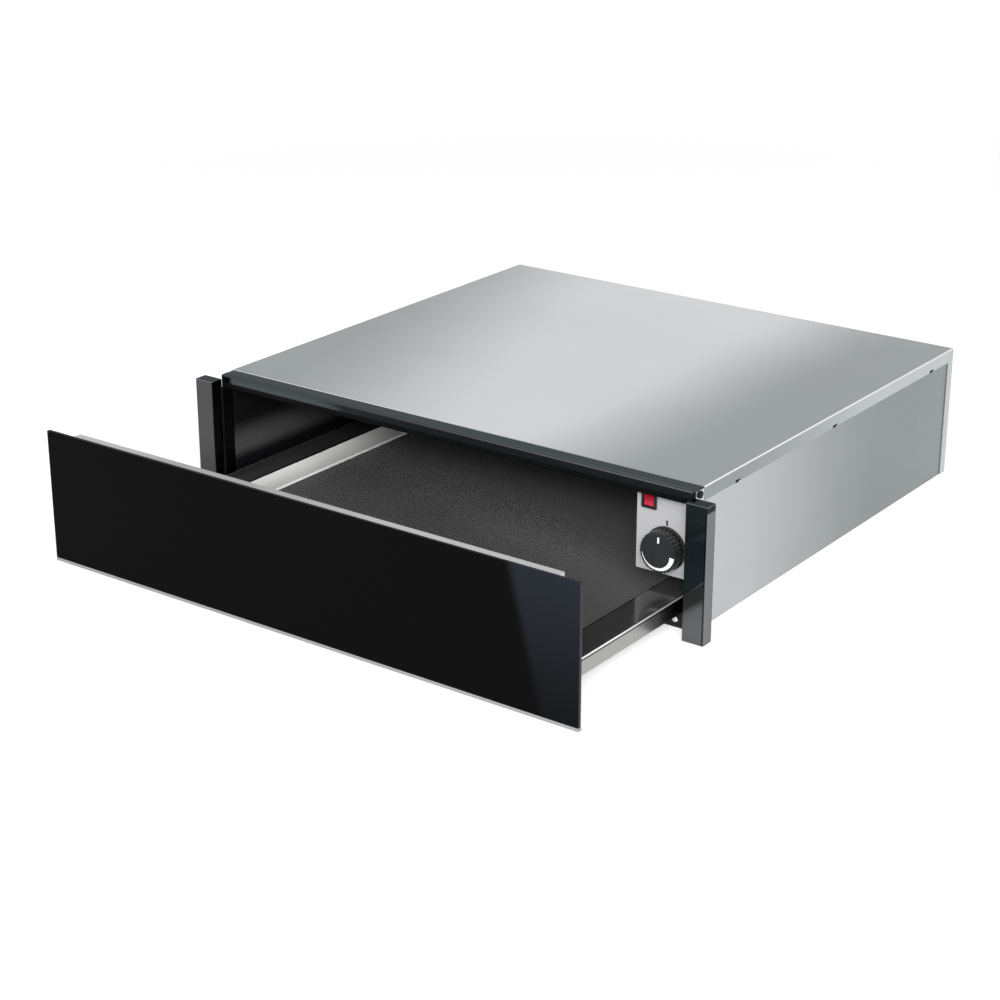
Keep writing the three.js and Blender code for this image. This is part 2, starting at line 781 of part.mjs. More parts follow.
function capillary() {
  const w = control.thermostatWidth / 2;
  const back = plateBack + control.thermostatDepth;
  const line = tube(
    route(
      [
        [control.knobX + w - 5, back + GAP, control.knobZ + 6],
        [control.knobX + w - 5, back + 12, control.knobZ + 6],
        [bulb.x, back + 12, bulb.z],
        [bulb.x, heater.baffleY - bulb.length + 3, bulb.z],
      ],
      5,
    ),
    1.1,
    70,
    6,
  );
  const sensor = rod(bulb.radius, "y", [heater.baffleY - bulb.length, heater.baffleY + 3], [bulb.x, bulb.z], 16);
  add(body, "thermostat_capillary", join(line, sensor), copper());
}

// ---------------------------------------------------------------- heater and fan

function heatingElement() {
  const y = fanY + heater.wheelWidth / 2;
  const straight = heater.loopStraight;
  const reach = heater.wheelRadius + heater.loopClearance + heater.rodRadius;
  const low = heater.axisZ - reach;
  const high = heater.axisZ + reach;
  const lead = (z, reverse) => {
    const points = [
      [element.x, element.end, z],
      [element.x, y, z],
      [straight, y, z],
    ];
    return route(reverse ? points.reverse() : points, 10);
  };
  const path = new THREE.CurvePath();
  lead(low, false).curves.forEach((curve) => path.add(curve));
  path.add(
    new Arc(
      new THREE.Vector3(straight, y, heater.axisZ),
      new THREE.Vector3(0, 0, -reach),
      new THREE.Vector3(reach, 0, 0),
    ),
  );
  lead(high, true).curves.forEach((curve) => path.add(curve));
  add(body, "heating_element", tube(path, heater.rodRadius, 90, 10), zincSteel());
}

const element = { x: -150, end: rearInner - GAP };

function fanWheel() {
  const { wheelRadius, wheelWidth, wheelHub, blades, axisZ, shaftRadius } = heater;
  const back = fanY + wheelWidth;
  const disc = turned(
    [
      [0, back - 7],
      [wheelHub, back - 7],
      [wheelHub, back - 1.4],
      [wheelRadius, back - 1.4],
      [wheelRadius, back],
      [0, back],
    ],
    [0, 0],
    36,
  );
  const ring = cut(
    rod(wheelRadius, "y", [fanY, fanY + 1.4], [0, 0], 36),
    rod(wheelRadius - 8, "y", [fanY - 1, fanY + 3], [0, 0], 36),
  );
  const vanes = [];
  for (let i = 0; i < blades; i++) {
    const vane = block([-0.6, 0.6], [fanY + 0.7, back - 0.7], [-5, 5]);
    vane.rotateY(THREE.MathUtils.degToRad(28));
    vane.translate(0, 0, wheelRadius - 6);
    vane.rotateY((2 * Math.PI * i) / blades);
    vanes.push(vane);
  }
  const bore = rod(shaftRadius + 0.1, "y", [back - 9, back + 1], [0, 0], 20);
  const wheel = cut(join(disc, ring, ...vanes), bore);
  wheel.translate(0, 0, axisZ);
  add(body, "fan_wheel", wheel, zincSteel());
}

function fanShaft() {
  const shaft = rod(heater.shaftRadius, "y", [fanY + heater.wheelWidth - 8.5, motorY + 9], [0, heater.axisZ], 20);
  add(body, "fan_shaft", shaft, zincSteel());
}

function motorBracket() {
  const arch = { half: latch.width / 2 + 2, top: SHEET + latch.height + 2 }; // the bracket stands over the latch
  const outer = 34;
  const web = prism(
    outline([
      [-outer, SHEET],
      [-arch.half, SHEET],
      [-arch.half, arch.top],
      [arch.half, arch.top],
      [arch.half, SHEET],
      [outer, SHEET],
      [outer, wallTop],
      [-outer, wallTop],
    ]),
    "y",
    [bracketY, bracketY + slide.sheet],
  );
  const feet = Object.values(sides).map((side) =>
    block(span(side, arch.half, outer), [bracketY - 12, bracketY + 0.5], [SHEET, SHEET + slide.sheet]),
  );
  const hole = rod(8, "y", [bracketY - 1, bracketY + slide.sheet + 1], [0, heater.axisZ], 20);
  add(body, "motor_bracket", cut(join(web, ...feet), hole), zincSteel());
}

function fanMotor() {
  const { motorRadius, motorDepth, axisZ, shaftRadius } = heater;
  const can = rod(motorRadius, "y", [motorY, motorY + motorDepth], [0, axisZ], 36);
  const stack = block([-motorRadius - 3, motorRadius + 3], [motorY + 5, motorY + 17], [axisZ - 14, axisZ + 14]);
  const bore = rod(shaftRadius + RUNNING, "y", [motorY - 1, motorY + 11], [0, axisZ], 20);
  add(body, "fan_motor", cut(join(can, stack), bore), blackSteel());
}

function thermalCutout() {
  const at = { x: 118, z: 100 };
  const y = heater.baffleY + SHEET;
  const disc = rod(8, "y", [y, y + 6], [at.x, at.z], 20);
  const tabs = [-1, 1].map((s) => block([at.x + s * 4 - 2, at.x + s * 4 + 2], [y + 5, y + 14], [at.z - 0.4, at.z + 0.4]));
  add(body, "thermal_cutout", join(disc, ...tabs), blackPlastic());
}

// ---------------------------------------------------------------- supply

const terminal = { half: 18, y: 487, depth: 18, top: 22 };
function terminalBlock() {
  const { y, depth, top } = terminal;
  const base = block(
    [gland.x - terminal.half, gland.x + terminal.half],
    [y - depth / 2, y + depth / 2],
    [SHEET, top],
  );
  const wells = [-1, 0, 1].map((i) => rod(3, "z", [top - 7, top + 1], [gland.x + i * 11, y], 12));
  add(body, "terminal_block", cut(base, ...wells), finish(0xe6e2d8, 0.5, 0));
}

function cableGland() {
  const at = [gland.x, gland.z];
  const thread = rod(gland.radius, "y", [rearInner - gland.inside, cabinet.back + 1], at, 20);
  const nut = rod(gland.nut, "y", [cabinet.back, cabinet.back + 5], at, 6);
  const dome = turned(
    [
      [0, cabinet.back + 4],
      [gland.radius + 1, cabinet.back + 4],
      [gland.radius + 1, cabinet.back + 8],
      [gland.bore + 1.6, cabinet.back + gland.proud],
      [0, cabinet.back + gland.proud],
    ],
    at,
    20,
  );
  const bore = rod(gland.bore, "y", [rearInner - gland.inside - 1, cabinet.back + gland.proud + 1], at, 16);
  add(body, "cable_gland", cut(join(thread, nut, dome), bore), blackPlastic());
}

function wiringHarness() {
  const line = tube(
    route(
      [
        [harness.x, boxBack - 20, pocket.z[1] - 8],
        [harness.x, boxBack - 20, harness.z],
        [harness.x, terminal.y, harness.z],
        [harness.x, terminal.y, 12],
        [gland.x + terminal.half + GAP, terminal.y, 12],
      ],
      9,
    ),
    harness.radius,
    70,
    8,
  );
  add(body, "wiring_harness", line, blackRubber());
}

// ---------------------------------------------------------------- slides

// Ball tracks stand out of the middle rail's two flanges towards its neighbours.
const track = {
  x: trayOuter + 8.2,
  radius: slide.ball,
};
const innerFace = {
  cabinet: slideTop - slide.sheet,
};
innerFace.track = innerFace.cabinet - RUNNING - track.radius;
innerFace.drawer = innerFace.track - track.radius - RUNNING;

const mirrored = (height) => 2 * slideMiddle - height;
const flangePair = (side, [near, far], y, [low, high]) => [
  block(span(side, near, far), y, [low, high]),
  block(span(side, near, far), y, [mirrored(high), mirrored(low)]),
];

function cabinetRail(name, side) {
  const y = [slide.start, slide.start + slide.cabinetLength];
  const web = block(span(side, railWeb, railOuter), y, [slide.bottom, slideTop]);
  const flanges = flangePair(side, [railOuter - slide.cabinetReach, railOuter], y, [innerFace.cabinet, slideTop]);
  add(body, `${name}_cabinet_rail`, join(web, ...flanges), zincSteel());
}

function railBracket(name, side) {
  const y = [slide.start + 12, slide.start + slide.cabinetLength - 4];
  const upright = block(span(side, railOuter, railOuter + slide.sheet), y, [SHEET, slideTop]);
  const foot = block(span(side, railOuter, railOuter + 13), y, [SHEET, SHEET + slide.sheet]);
  add(body, `${name}_rail_bracket`, join(upright, foot), zincSteel());
}

const middleShift = closing / 2; // the middle rail travels half as far as the drawer
function middleRail(name, side) {
  const start = slide.start + 2 - middleShift;
  const y = [start, start + slide.movingLength - 6];
  const face = railWeb - RUNNING;
  const half = slide.sheet / 2;
  const web = block(span(side, face - slide.sheet, face), y, [mirrored(innerFace.track + half), innerFace.track + half]);
  const flanges = flangePair(side, [track.x - 2, face], y, [innerFace.track - half, innerFace.track + half]);
  const beads = [innerFace.track, mirrored(innerFace.track)].map((z) =>
    rod(track.radius, "y", y, [side * track.x, z], 12),
  );
  add(body, `${name}_middle_rail`, join(web, ...flanges, ...beads), zincSteel());
}

function drawerRail(name, side) {
  const start = slide.start - 4 - closing;
  const y = [start, start + slide.movingLength];
  const web = block(span(side, trayOuter, trayOuter + slide.sheet), y, [mirrored(innerFace.drawer), innerFace.drawer]);
  const flanges = flangePair(side, [trayOuter, track.x + 1.2], y, [innerFace.drawer - slide.sheet, innerFace.drawer]);
  add(drawer, `${name}_drawer_rail`, join(web, ...flanges), zincSteel());
}

// ---------------------------------------------------------------- drawer

function drawerTray() {
  const underside = tray.floor - SHEET;
  const section = outline([
    [-trayOuter, underside],
    [trayOuter, underside],
    [trayOuter, flangeFoot],
    [flangeReach, flangeFoot],
    [flangeReach, flangeTop],
    [-flangeReach, flangeTop],
    [-flangeReach, flangeFoot],
    [-trayOuter, flangeFoot],
  ]);
  const inside = block([-trayInner, trayInner], [trayFront + SHEET, trayBack - SHEET], [tray.floor, tray.rimTop]);
  add(drawer, "drawer_tray", cut(prism(section, "y", [trayFront, trayBack]), inside), brightSteel());
}

function rimCap(name, side) {
  const cap = block(span(side, trayInner, flangeReach), [trayFront, trayBack], [flangeTop, tray.rimTop]);
  add(drawer, `${name}_rim_cap`, cap, polishedDark());
}

function sideSkirt(name, side) {
  const bead = rod(
    tray.skirtBead,
    "y",
    [trayFront, trayBack],
    [side * (skirtOuter - tray.skirtBead), tray.rimTop - tray.skirtBead],
    12,
  );
  const face = block(
    span(side, skirtInner, skirtOuter - GAP),
    [trayFront, trayBack],
    [skirtFoot, tray.rimTop - tray.skirtBead],
  );
  add(drawer, `${name}_side_skirt`, join(face, bead), brightSteel());
}

function drawerMat() {
  const reach = trayInner - tray.matGap;
  const mat = block(
    [-reach, reach],
    [trayFront + SHEET + tray.matGap, trayBack - SHEET - tray.matGap],
    [tray.floor, matTop],
  );
  add(drawer, "drawer_mat", mat, matRubber());
}

function frontCarrier() {
  const x = [-carrierHalf, carrierHalf];
  const z = [front.bottom, carrierTop];
  const shell = block(x, [glassBack, carrierBack], z);
  const hollow = block(shrunk(x, SHEET), [glassBack + SHEET, carrierBack + 1], shrunk(z, SHEET));
  add(drawer, "front_carrier", cut(shell, hollow), silver());
}

function innerFrontPanel() {
  const panel = block(
    [-carrierHalf, carrierHalf],
    [carrierBack, innerPanelBack],
    [front.bottom, carrierTop],
  );
  add(drawer, "inner_front_panel", panel, brightSteel());
}

function glassFront() {
  const glass = prism(
    outline([
      [-front.width / 2, front.bottom, 0.8],
      [front.width / 2, front.bottom, 0.8],
      [front.width / 2, glassTop, 0.8],
      [-front.width / 2, glassTop, 0.8],
    ]),
    "y",
    [frontFace, glassBack],
    2,
  );
  add(drawer, "glass_front", glass, blackGlass());
}

function bottomTrim() {
  const trim = block(
    [-front.width / 2, front.width / 2],
    [frontFace, glassBack + front.closedGap - GAP],
    [front.bottom - front.trim, front.bottom],
  );
  add(drawer, "bottom_trim", trim, silver());
}

// ---------------------------------------------------------------- push latch

const striker = { width: 20, back: trayBack + 2, foot: 2.6, thick: 2 };
const latchFace = striker.back + closing + 0.6 + latch.stroke;
const plungerZ = SHEET + latch.height / 2;

function latchStriker() {
  const x = [-striker.width / 2, striker.width / 2];
  const plate = block(x, [striker.back - striker.thick, striker.back], [striker.foot, tray.floor - SHEET]);
  const foot = block(x, [striker.back - 18, striker.back], [tray.floor - SHEET - 1.4, tray.floor - SHEET]);
  add(drawer, "latch_striker", join(plate, foot), zincSteel());
}

function pushLatch() {
  const case_ = block([-latch.width / 2, latch.width / 2], [latchFace, latchFace + latch.depth],
    [SHEET, SHEET + latch.height]);
  const bore = rod(latch.plungerRadius + RUNNING, "y", [latchFace - 1, latchFace + 34], [0, plungerZ], 16);
  add(body, "push_latch", cut(case_, bore), blackPlastic());
  const plunger = rod(latch.plungerRadius, "y", [latchFace - latch.stroke, latchFace + 26], [0, plungerZ], 16);
  add(body, "latch_plunger", plunger, silver());
}

// ---------------------------------------------------------------- assembly

topCover();
rearPanel();
basePan();
topBar();
barSeal();
lowerCrossMember();
upperCrossMember();
cavityCeiling();
ceilingInsulation();
airBaffle();
controlPlate();
controlBox();
switchHousing();
switchRocker();
thermostat();
thermostatShaft();
thermostatKnob();
capillary();
heatingElement();
fanWheel();
fanShaft();
motorBracket();
fanMotor();
thermalCutout();
terminalBlock();
cableGland();
wiringHarness();
pushLatch();
drawerTray();
drawerMat();
frontCarrier();
innerFrontPanel();
glassFront();
bottomTrim();
latchStriker();
for (const [name, side] of Object.entries(sides)) {
  sidePanel(name, side);
  framePost(name, side);
  cornerPlate(name, side);
  crossMemberScrew(name, side);
  cavityWall(name, side);
  cabinetRail(name, side);
  railBracket(name, side);
  middleRail(name, side);
  drawerRail(name, side);
  rimCap(name, side);
  sideSkirt(name, side);
}

const placed = new THREE.Group();
placed.add(body, drawer);
placed.position.y = -(panFront + rearInner) / 2;

const warmingDrawer = new THREE.Group();
warmingDrawer.add(placed);

export default warmingDrawer;
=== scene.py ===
import json
import math

import bmesh
import bpy
from bpy.props import FloatProperty, FloatVectorProperty, IntProperty, PointerProperty
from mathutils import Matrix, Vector

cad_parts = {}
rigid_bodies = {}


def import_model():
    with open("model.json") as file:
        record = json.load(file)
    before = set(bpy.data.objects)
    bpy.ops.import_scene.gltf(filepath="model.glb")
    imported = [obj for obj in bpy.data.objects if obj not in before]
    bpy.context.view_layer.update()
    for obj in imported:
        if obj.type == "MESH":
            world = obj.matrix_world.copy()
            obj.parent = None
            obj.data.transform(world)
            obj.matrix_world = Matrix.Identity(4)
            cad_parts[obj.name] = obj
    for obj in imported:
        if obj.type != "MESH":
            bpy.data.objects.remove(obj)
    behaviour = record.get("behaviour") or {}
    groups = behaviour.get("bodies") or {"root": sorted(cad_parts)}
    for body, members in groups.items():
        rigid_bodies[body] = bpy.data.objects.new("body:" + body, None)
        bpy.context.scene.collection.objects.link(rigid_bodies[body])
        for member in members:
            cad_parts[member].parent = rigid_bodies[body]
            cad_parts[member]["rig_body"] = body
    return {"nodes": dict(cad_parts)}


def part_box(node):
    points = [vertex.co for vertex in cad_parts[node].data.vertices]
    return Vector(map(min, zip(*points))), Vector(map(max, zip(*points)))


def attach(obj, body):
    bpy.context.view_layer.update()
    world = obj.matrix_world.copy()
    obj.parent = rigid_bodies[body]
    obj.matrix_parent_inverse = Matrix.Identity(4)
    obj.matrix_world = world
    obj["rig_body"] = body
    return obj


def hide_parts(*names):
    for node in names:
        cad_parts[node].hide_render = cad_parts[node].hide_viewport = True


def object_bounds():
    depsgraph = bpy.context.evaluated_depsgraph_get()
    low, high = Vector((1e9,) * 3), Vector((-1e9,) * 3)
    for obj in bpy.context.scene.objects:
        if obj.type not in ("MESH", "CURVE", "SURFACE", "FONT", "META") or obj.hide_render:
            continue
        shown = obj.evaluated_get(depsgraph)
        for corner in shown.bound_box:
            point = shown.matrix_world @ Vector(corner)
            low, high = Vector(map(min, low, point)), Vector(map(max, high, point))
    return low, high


# A built-in warming drawer, with its tray pulled part of the way out. Lengths are in metres, X to the right,
# Y into the cabinet, Z up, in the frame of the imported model.

bl_info = {
    "name": "Warming drawer",
    "version": (1, 0, 0),
    "blender": (4, 5, 0),
    "location": "3D View > Sidebar > Warming drawer",
    "description": "Finishes a built-in warming drawer around its packed model",
    "category": "Object",
}

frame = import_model()
PACKED_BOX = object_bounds()
NODES = frame["nodes"]

MM = 0.001

RIGHT, LEFT = (1.0, 0.0, 0.0), (-1.0, 0.0, 0.0)
BACK, FRONT = (0.0, 1.0, 0.0), (0.0, -1.0, 0.0)
UP, DOWN = (0.0, 0.0, 1.0), (0.0, 0.0, -1.0)
SIGNS = {"left": -1, "right": 1}
FACES_ALONG = 0.7  # a face looks along a direction when its normal has more than this of it


def middle_of(node):
    """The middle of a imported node's box."""
    low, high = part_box(node)
    return (low + high) / 2


KNOB_MIDDLE = middle_of("thermostat_knob")


# ------------------------------------------------------------------ sizes and colours for the user


class DrawerSizes(bpy.types.PropertyGroup):
    """Sizes of the small shapes that are drawn here"""

    sheet_edge: FloatProperty(
        name="Sheet edge", description="Rounding of the edges of folded sheet",
        default=0.22 * MM, unit="LENGTH",
    )
    fold_radius: FloatProperty(
        name="Fold radius", description="Outer radius of the folds of the top cover",
        default=1.3 * MM, unit="LENGTH",
    )
    frame_edge: FloatProperty(
        name="Frame edge", description="Rounding of the frame's posts",
        default=0.75 * MM, unit="LENGTH",
    )
    glass_edge: FloatProperty(
        name="Glass edge", description="Ground edge round the glass front",
        default=0.7 * MM, unit="LENGTH",
    )
    mat_pitch: FloatProperty(
        name="Mat pitch", description="Distance between the rows of dots of the mat",
        default=2.35 * MM, unit="LENGTH",
    )
    tray_wall: FloatProperty(
        name="Tray wall", description="Inner face of the tray's side walls, from the middle",
        default=231.0 * MM, unit="LENGTH",
    )
    knob_flutes: IntProperty(
        name="Knob flutes", description="Number of flutes round the knob",
        default=30, min=8,
    )
    flute_depth: FloatProperty(
        name="Flute depth", description="Depth of the flutes of the knob",
        default=1.1 * MM, unit="LENGTH",
    )


class DrawerColours(bpy.types.PropertyGroup):
    """Colours of the finishes"""

    cabinet: FloatVectorProperty(
        name="Cabinet", description="Satin sheet of the cabinet",
        default=(0.292, 0.316, 0.319), size=3, subtype="COLOR",
    )
    # painted highlight: the bright band over the middle of the top cover
    cabinet_painted_highlight: FloatVectorProperty(
        name="Cover sheen", description="Bright band of the top cover",
        default=(0.63, 0.648, 0.66), size=3, subtype="COLOR",
    )
    # painted highlight: the brighter front of the sides
    side_painted_highlight: FloatVectorProperty(
        name="Side sheen", description="Bright front of the sides",
        default=(0.462, 0.475, 0.485), size=3, subtype="COLOR",
    )
    frame: FloatVectorProperty(
        name="Frame", description="Polished dark frame",
        default=(0.106, 0.108, 0.111), size=3, subtype="COLOR",
    )
    bar: FloatVectorProperty(
        name="Bar", description="Polished dark bar over the drawer",
        default=(0.058, 0.068, 0.069), size=3, subtype="COLOR",
    )
    glass: FloatVectorProperty(
        name="Glass", description="Black enamel behind the glass",
        default=(0.0014, 0.0014, 0.0015), size=3, subtype="COLOR",
    )
    mat: FloatVectorProperty(
        name="Mat", description="Non-slip mat",
        default=(0.1, 0.1, 0.1), size=3, subtype="COLOR",
    )
    skirt: FloatVectorProperty(
        name="Skirt", description="Stainless sheet of the skirts beside the tray",
        default=(0.3472, 0.3472, 0.336), size=3, subtype="COLOR",
    )
    rocker: FloatVectorProperty(
        name="Rocker", description="Red rocker of the switch",
        default=(0.36, 0.004, 0.018), size=3, subtype="COLOR",
    )


class DrawerStage(bpy.types.PropertyGroup):
    """Camera and light"""

    camera_place: FloatVectorProperty(
        name="Camera", description="Where the camera stands",
        default=(1.17752, -1.77085, 0.81603), size=3, unit="LENGTH",
    )
    camera_turn: FloatProperty(
        name="Turn", description="Turn of the camera to the left of straight on",
        default=0.63237, subtype="ANGLE",
    )
    camera_dip: FloatProperty(
        name="Dip", description="How far the camera looks down",
        default=0.37372, subtype="ANGLE",
    )
    focal_length: FloatProperty(
        name="Lens", description="Focal length in millimetres",
        default=79.527, unit="CAMERA",
    )
    room_light: FloatProperty(
        name="Room light", description="Strength of the light from all sides",
        default=0.5, min=0.0,
    )
    key_light: FloatProperty(
        name="Key light", description="Power of the large lamp on the right",
        default=48.0, unit="POWER",
    )
    front_light: FloatProperty(
        name="Front light", description="Power of the low lamp that looks into the drawer",
        default=60.0, unit="POWER",
    )
    side_light: FloatProperty(
        name="Side light", description="Power of the lamp on the left",
        default=8.0, unit="POWER",
    )
    back_light: FloatProperty(
        name="Back light", description="Power of the lamp behind",
        default=6.0, unit="POWER",
    )


def sizes():
    """The sizes as they are set in the sidebar."""
    return bpy.context.scene.drawer_sizes


def colours():
    """The colours as they are set in the sidebar."""
    return bpy.context.scene.drawer_colours


# ------------------------------------------------------------------ node trees

# places of the colour sockets of a Mix node, which has one set of sockets for each kind of data
MIX_FACTOR, MIX_FIRST, MIX_SECOND, MIX_RESULT = 0, 6, 7, 2


def rgba(colour):
    """A colour with its alpha of 1. The output of a node is left as it is."""
    if isinstance(colour, bpy.types.NodeSocket):
        return colour
    return (*colour[:3], 1.0)


def scaled(colour, factor):
    """A colour made lighter or darker."""
    return tuple(min(1.0, channel * factor) for channel in colour[:3])


class Graph:
    """Adds nodes to one node tree and joins them."""

    def __init__(self, tree):
        self.tree = tree

    def feed(self, socket, value):
        if isinstance(value, bpy.types.NodeSocket):
            self.tree.links.new(value, socket)
        else:
            socket.default_value = value

    def add(self, kind, **inputs):
        node = self.tree.nodes.new(kind)
        for key, value in inputs.items():
            self.feed(node.inputs[key.replace("_", " ")], value)
        return node

    def place(self):
        """Where a point of the surface is on its object."""
        return self.add("ShaderNodeTexCoord").outputs["Object"]

    def noise(self, place, scale, detail, roughness=0.5):
        node = self.add("ShaderNodeTexNoise", Vector=place, Scale=scale, Detail=detail, Roughness=roughness)
        return node.outputs

    def operate(self, kind, operation, values):
        node = self.tree.nodes.new(kind)
        node.operation = operation
        for socket, value in zip(node.inputs, values):
            self.feed(socket, value)
        return node.outputs

    def maths(self, operation, *values):
        return self.operate("ShaderNodeMath", operation, values)[0]

    def vector(self, operation, *values):
        outputs = self.operate("ShaderNodeVectorMath", operation, values)
        return outputs["Value" if operation in ("DOT_PRODUCT", "LENGTH") else "Vector"]

    def spread(self, value, low, high, to_low=0.0, to_high=1.0, smooth=True):
        """A value that runs from low to high, made to run from to_low to to_high."""
        node = self.tree.nodes.new("ShaderNodeMapRange")
        node.interpolation_type = "SMOOTHSTEP" if smooth else "LINEAR"
        for socket, given in zip(node.inputs, (value, low, high, to_low, to_high)):
            self.feed(socket, given)
        return node.outputs["Result"]

    def blend(self, factor, first, second, blend_type="MIX"):
        node = self.tree.nodes.new("ShaderNodeMix")
        node.data_type = "RGBA"
        node.blend_type = blend_type
        self.feed(node.inputs[MIX_FACTOR], factor)
        self.feed(node.inputs[MIX_FIRST], rgba(first))
        self.feed(node.inputs[MIX_SECOND], rgba(second))
        return node.outputs[MIX_RESULT]

    def shade(self, colour, mask, at_zero, at_one=1.0):
        """A colour times a grey that goes from one level to another with a mask."""
        return self.blend(1.0, colour, self.blend(mask, (at_zero,) * 3, (at_one,) * 3), "MULTIPLY")

    def group(self, name, **inputs):
        """Places a shared node group, with its own values."""
        node = self.tree.nodes.new("ShaderNodeGroup")
        node.node_tree = bpy.data.node_groups.get(name) or GROUP_MAKERS[name](name)
        for key, value in inputs.items():
            self.feed(node.inputs[key], value)
        return node.outputs

    def grain(self, stretch):
        """Rolled grain, with that many lines to a metre along X, Y and Z."""
        return self.group("Rolled grain", Stretch=stretch)

    def ramp(self, direction, start, end):
        """A mask that rises softly from start to end along a direction fixed to the object."""
        return self.group("Soft ramp", Direction=direction, Start=start, End=end)["Mask"]


GROUP_SOCKETS = {float: "NodeSocketFloat", tuple: "NodeSocketVector"}


def new_group(name, inputs, outputs):
    """An empty node group. inputs gives each input's default value, and outputs are numbers."""
    tree = bpy.data.node_groups.new(name, "ShaderNodeTree")
    for label, default in inputs.items():
        kind = GROUP_SOCKETS[type(default)]
        tree.interface.new_socket(name=label, in_out="INPUT", socket_type=kind).default_value = default
    for label in outputs:
        tree.interface.new_socket(name=label, in_out="OUTPUT", socket_type=GROUP_SOCKETS[float])
    graph = Graph(tree)
    return graph, graph.add("NodeGroupInput").outputs, graph.add("NodeGroupOutput").inputs


def rolled_grain(name):
    """Fine lines along one direction, as rolling and brushing leave them in sheet."""
    graph, given, out = new_group(name, {"Stretch": (12.0, 900.0, 900.0)}, ("Line", "Tone"))
    stretched = graph.vector("MULTIPLY", graph.place(), given["Stretch"])
    fine = graph.noise(stretched, 1.0, 3.0, 0.6)[0]
    broad = graph.noise(graph.vector("MULTIPLY", stretched, (0.25, 0.25, 0.25)), 1.0, 1.0)[0]
    graph.feed(out["Line"], fine)
    graph.feed(out["Tone"], graph.maths("MULTIPLY_ADD", graph.maths("SUBTRACT", broad, 0.5), 0.6, fine))
    return graph.tree


def cloudy_sheet(name):
    """Slow, faint clouds over a surface, for colour and gloss that are never quite even."""
    graph, given, out = new_group(name, {"Scale": 6.0}, ("Cloud", "Speck"))
    place = graph.place()
    graph.feed(out["Cloud"], graph.spread(graph.noise(place, given["Scale"], 2.0)[0], 0.3, 0.7))
    graph.feed(out["Speck"], graph.spread(graph.noise(place, 2600.0, 1.0)[0], 0.35, 0.65))
    return graph.tree


def soft_ramp(name):
    """A soft step along a direction fixed to the object."""
    graph, given, out = new_group(name, {"Direction": BACK, "Start": 0.0, "End": 1.0}, ("Mask",))
    along = graph.vector("DOT_PRODUCT", graph.place(), given["Direction"])
    graph.feed(out["Mask"], graph.spread(along, given["Start"], given["End"]))
    return graph.tree


def dotted_weave(name):
    """Small raised dots in rows at sixty degrees to each other, with dark grooves between them."""
    graph, given, out = new_group(name, {"Pitch": 2.3 * MM}, ("Height", "Shade"))
    place = graph.place()
    turns = graph.maths("DIVIDE", 2 * math.pi, given["Pitch"])
    total = 0.0
    for turn in (0, 60, 120):
        row = (math.cos(math.radians(turn)), math.sin(math.radians(turn)), 0.0)
        along = graph.maths("MULTIPLY", graph.vector("DOT_PRODUCT", place, row), turns)
        total = graph.maths("ADD", total, graph.maths("COSINE", along))
    dots = graph.spread(total, -1.5, 3.0, smooth=False)
    graph.feed(out["Height"], dots)
    graph.feed(out["Shade"], graph.spread(dots, 0.1, 0.75))
    return graph.tree


def pebbled_skin(name):
    """The fine pebbles of moulded plastic, rubber and textured enamel."""
    graph, given, out = new_group(name, {"Scale": 900.0}, ("Height", "Tone"))
    place = graph.place()
    graph.feed(out["Height"], graph.noise(place, given["Scale"], 2.0)[0])
    graph.feed(out["Tone"], graph.spread(graph.noise(place, 35.0, 2.0)[0], 0.3, 0.7))
    return graph.tree


def zinc_spangle(name):
    """Zinc crystals, each a little lighter or darker than its neighbours."""
    graph, given, out = new_group(name, {"Scale": 160.0}, ("Crystal", "Gloss"))
    place = graph.place()
    wobble = graph.vector("MULTIPLY", graph.noise(place, 90.0, 2.0)["Color"], (0.006, 0.006, 0.006))
    cells = graph.add("ShaderNodeTexVoronoi", Vector=graph.vector("ADD", place, wobble), Scale=given["Scale"])
    tone = graph.add("ShaderNodeSeparateColor", Color=cells.outputs["Color"]).outputs
    graph.feed(out["Crystal"], tone["Red"])
    graph.feed(out["Gloss"], tone["Green"])
    return graph.tree


def handling_marks(name):
    """Faint smudges where hands and cloths have been."""
    graph, given, out = new_group(name, {"Scale": 14.0}, ("Mark",))
    place = graph.place()
    warp = graph.vector("MULTIPLY", graph.noise(place, 4.0, 2.0)["Color"], (0.12, 0.12, 0.12))
    smear = graph.noise(graph.vector("ADD", place, warp), given["Scale"], 4.0, 0.6)[0]
    graph.feed(out["Mark"], graph.spread(smear, 0.48, 0.72))
    return graph.tree


GROUP_MAKERS = {
    "Rolled grain": rolled_grain,
    "Cloudy sheet": cloudy_sheet,
    "Soft ramp": soft_ramp,
    "Dotted weave": dotted_weave,
    "Pebbled skin": pebbled_skin,
    "Zinc spangle": zinc_spangle,
    "Handling marks": handling_marks,
}


class Finish(Graph):
    """A material with one Principled BSDF. Values that are the same all over are set on its own sockets."""

    def __init__(self, name, colour=None, **values):
        self.material = bpy.data.materials.new(name)
        self.material.use_nodes = True
        super().__init__(self.material.node_tree)
        self.shader = self.tree.nodes["Principled BSDF"].inputs
        if colour is not None:
            self.shader["Base Color"].default_value = rgba(colour)
        for key, value in values.items():
            self.shader[key.replace("_", " ")].default_value = value
        self.material.diffuse_color = rgba(self.shader["Base Color"].default_value)

    def paint(self, colour):
        self.base = colour
        self.feed(self.shader["Base Color"], colour)

    def roughen(self, roughness):
        self.feed(self.shader["Roughness"], roughness)

    def handle(self, scale, amount, roughness):
        """Roughness with the faint marks of hands and cloths added to it."""
        marks = self.group("Handling marks", Scale=scale)["Mark"]
        self.roughen(self.maths("MULTIPLY_ADD", marks, amount, roughness))

    def bump(self, height, depth):
        """Feeds a height, in metres of depth, to the normal."""
        node = self.add("ShaderNodeBump", Height=height, Strength=1.0, Distance=depth)
        self.feed(self.shader["Normal"], node.outputs["Normal"])


# ------------------------------------------------------------------ families of finishes

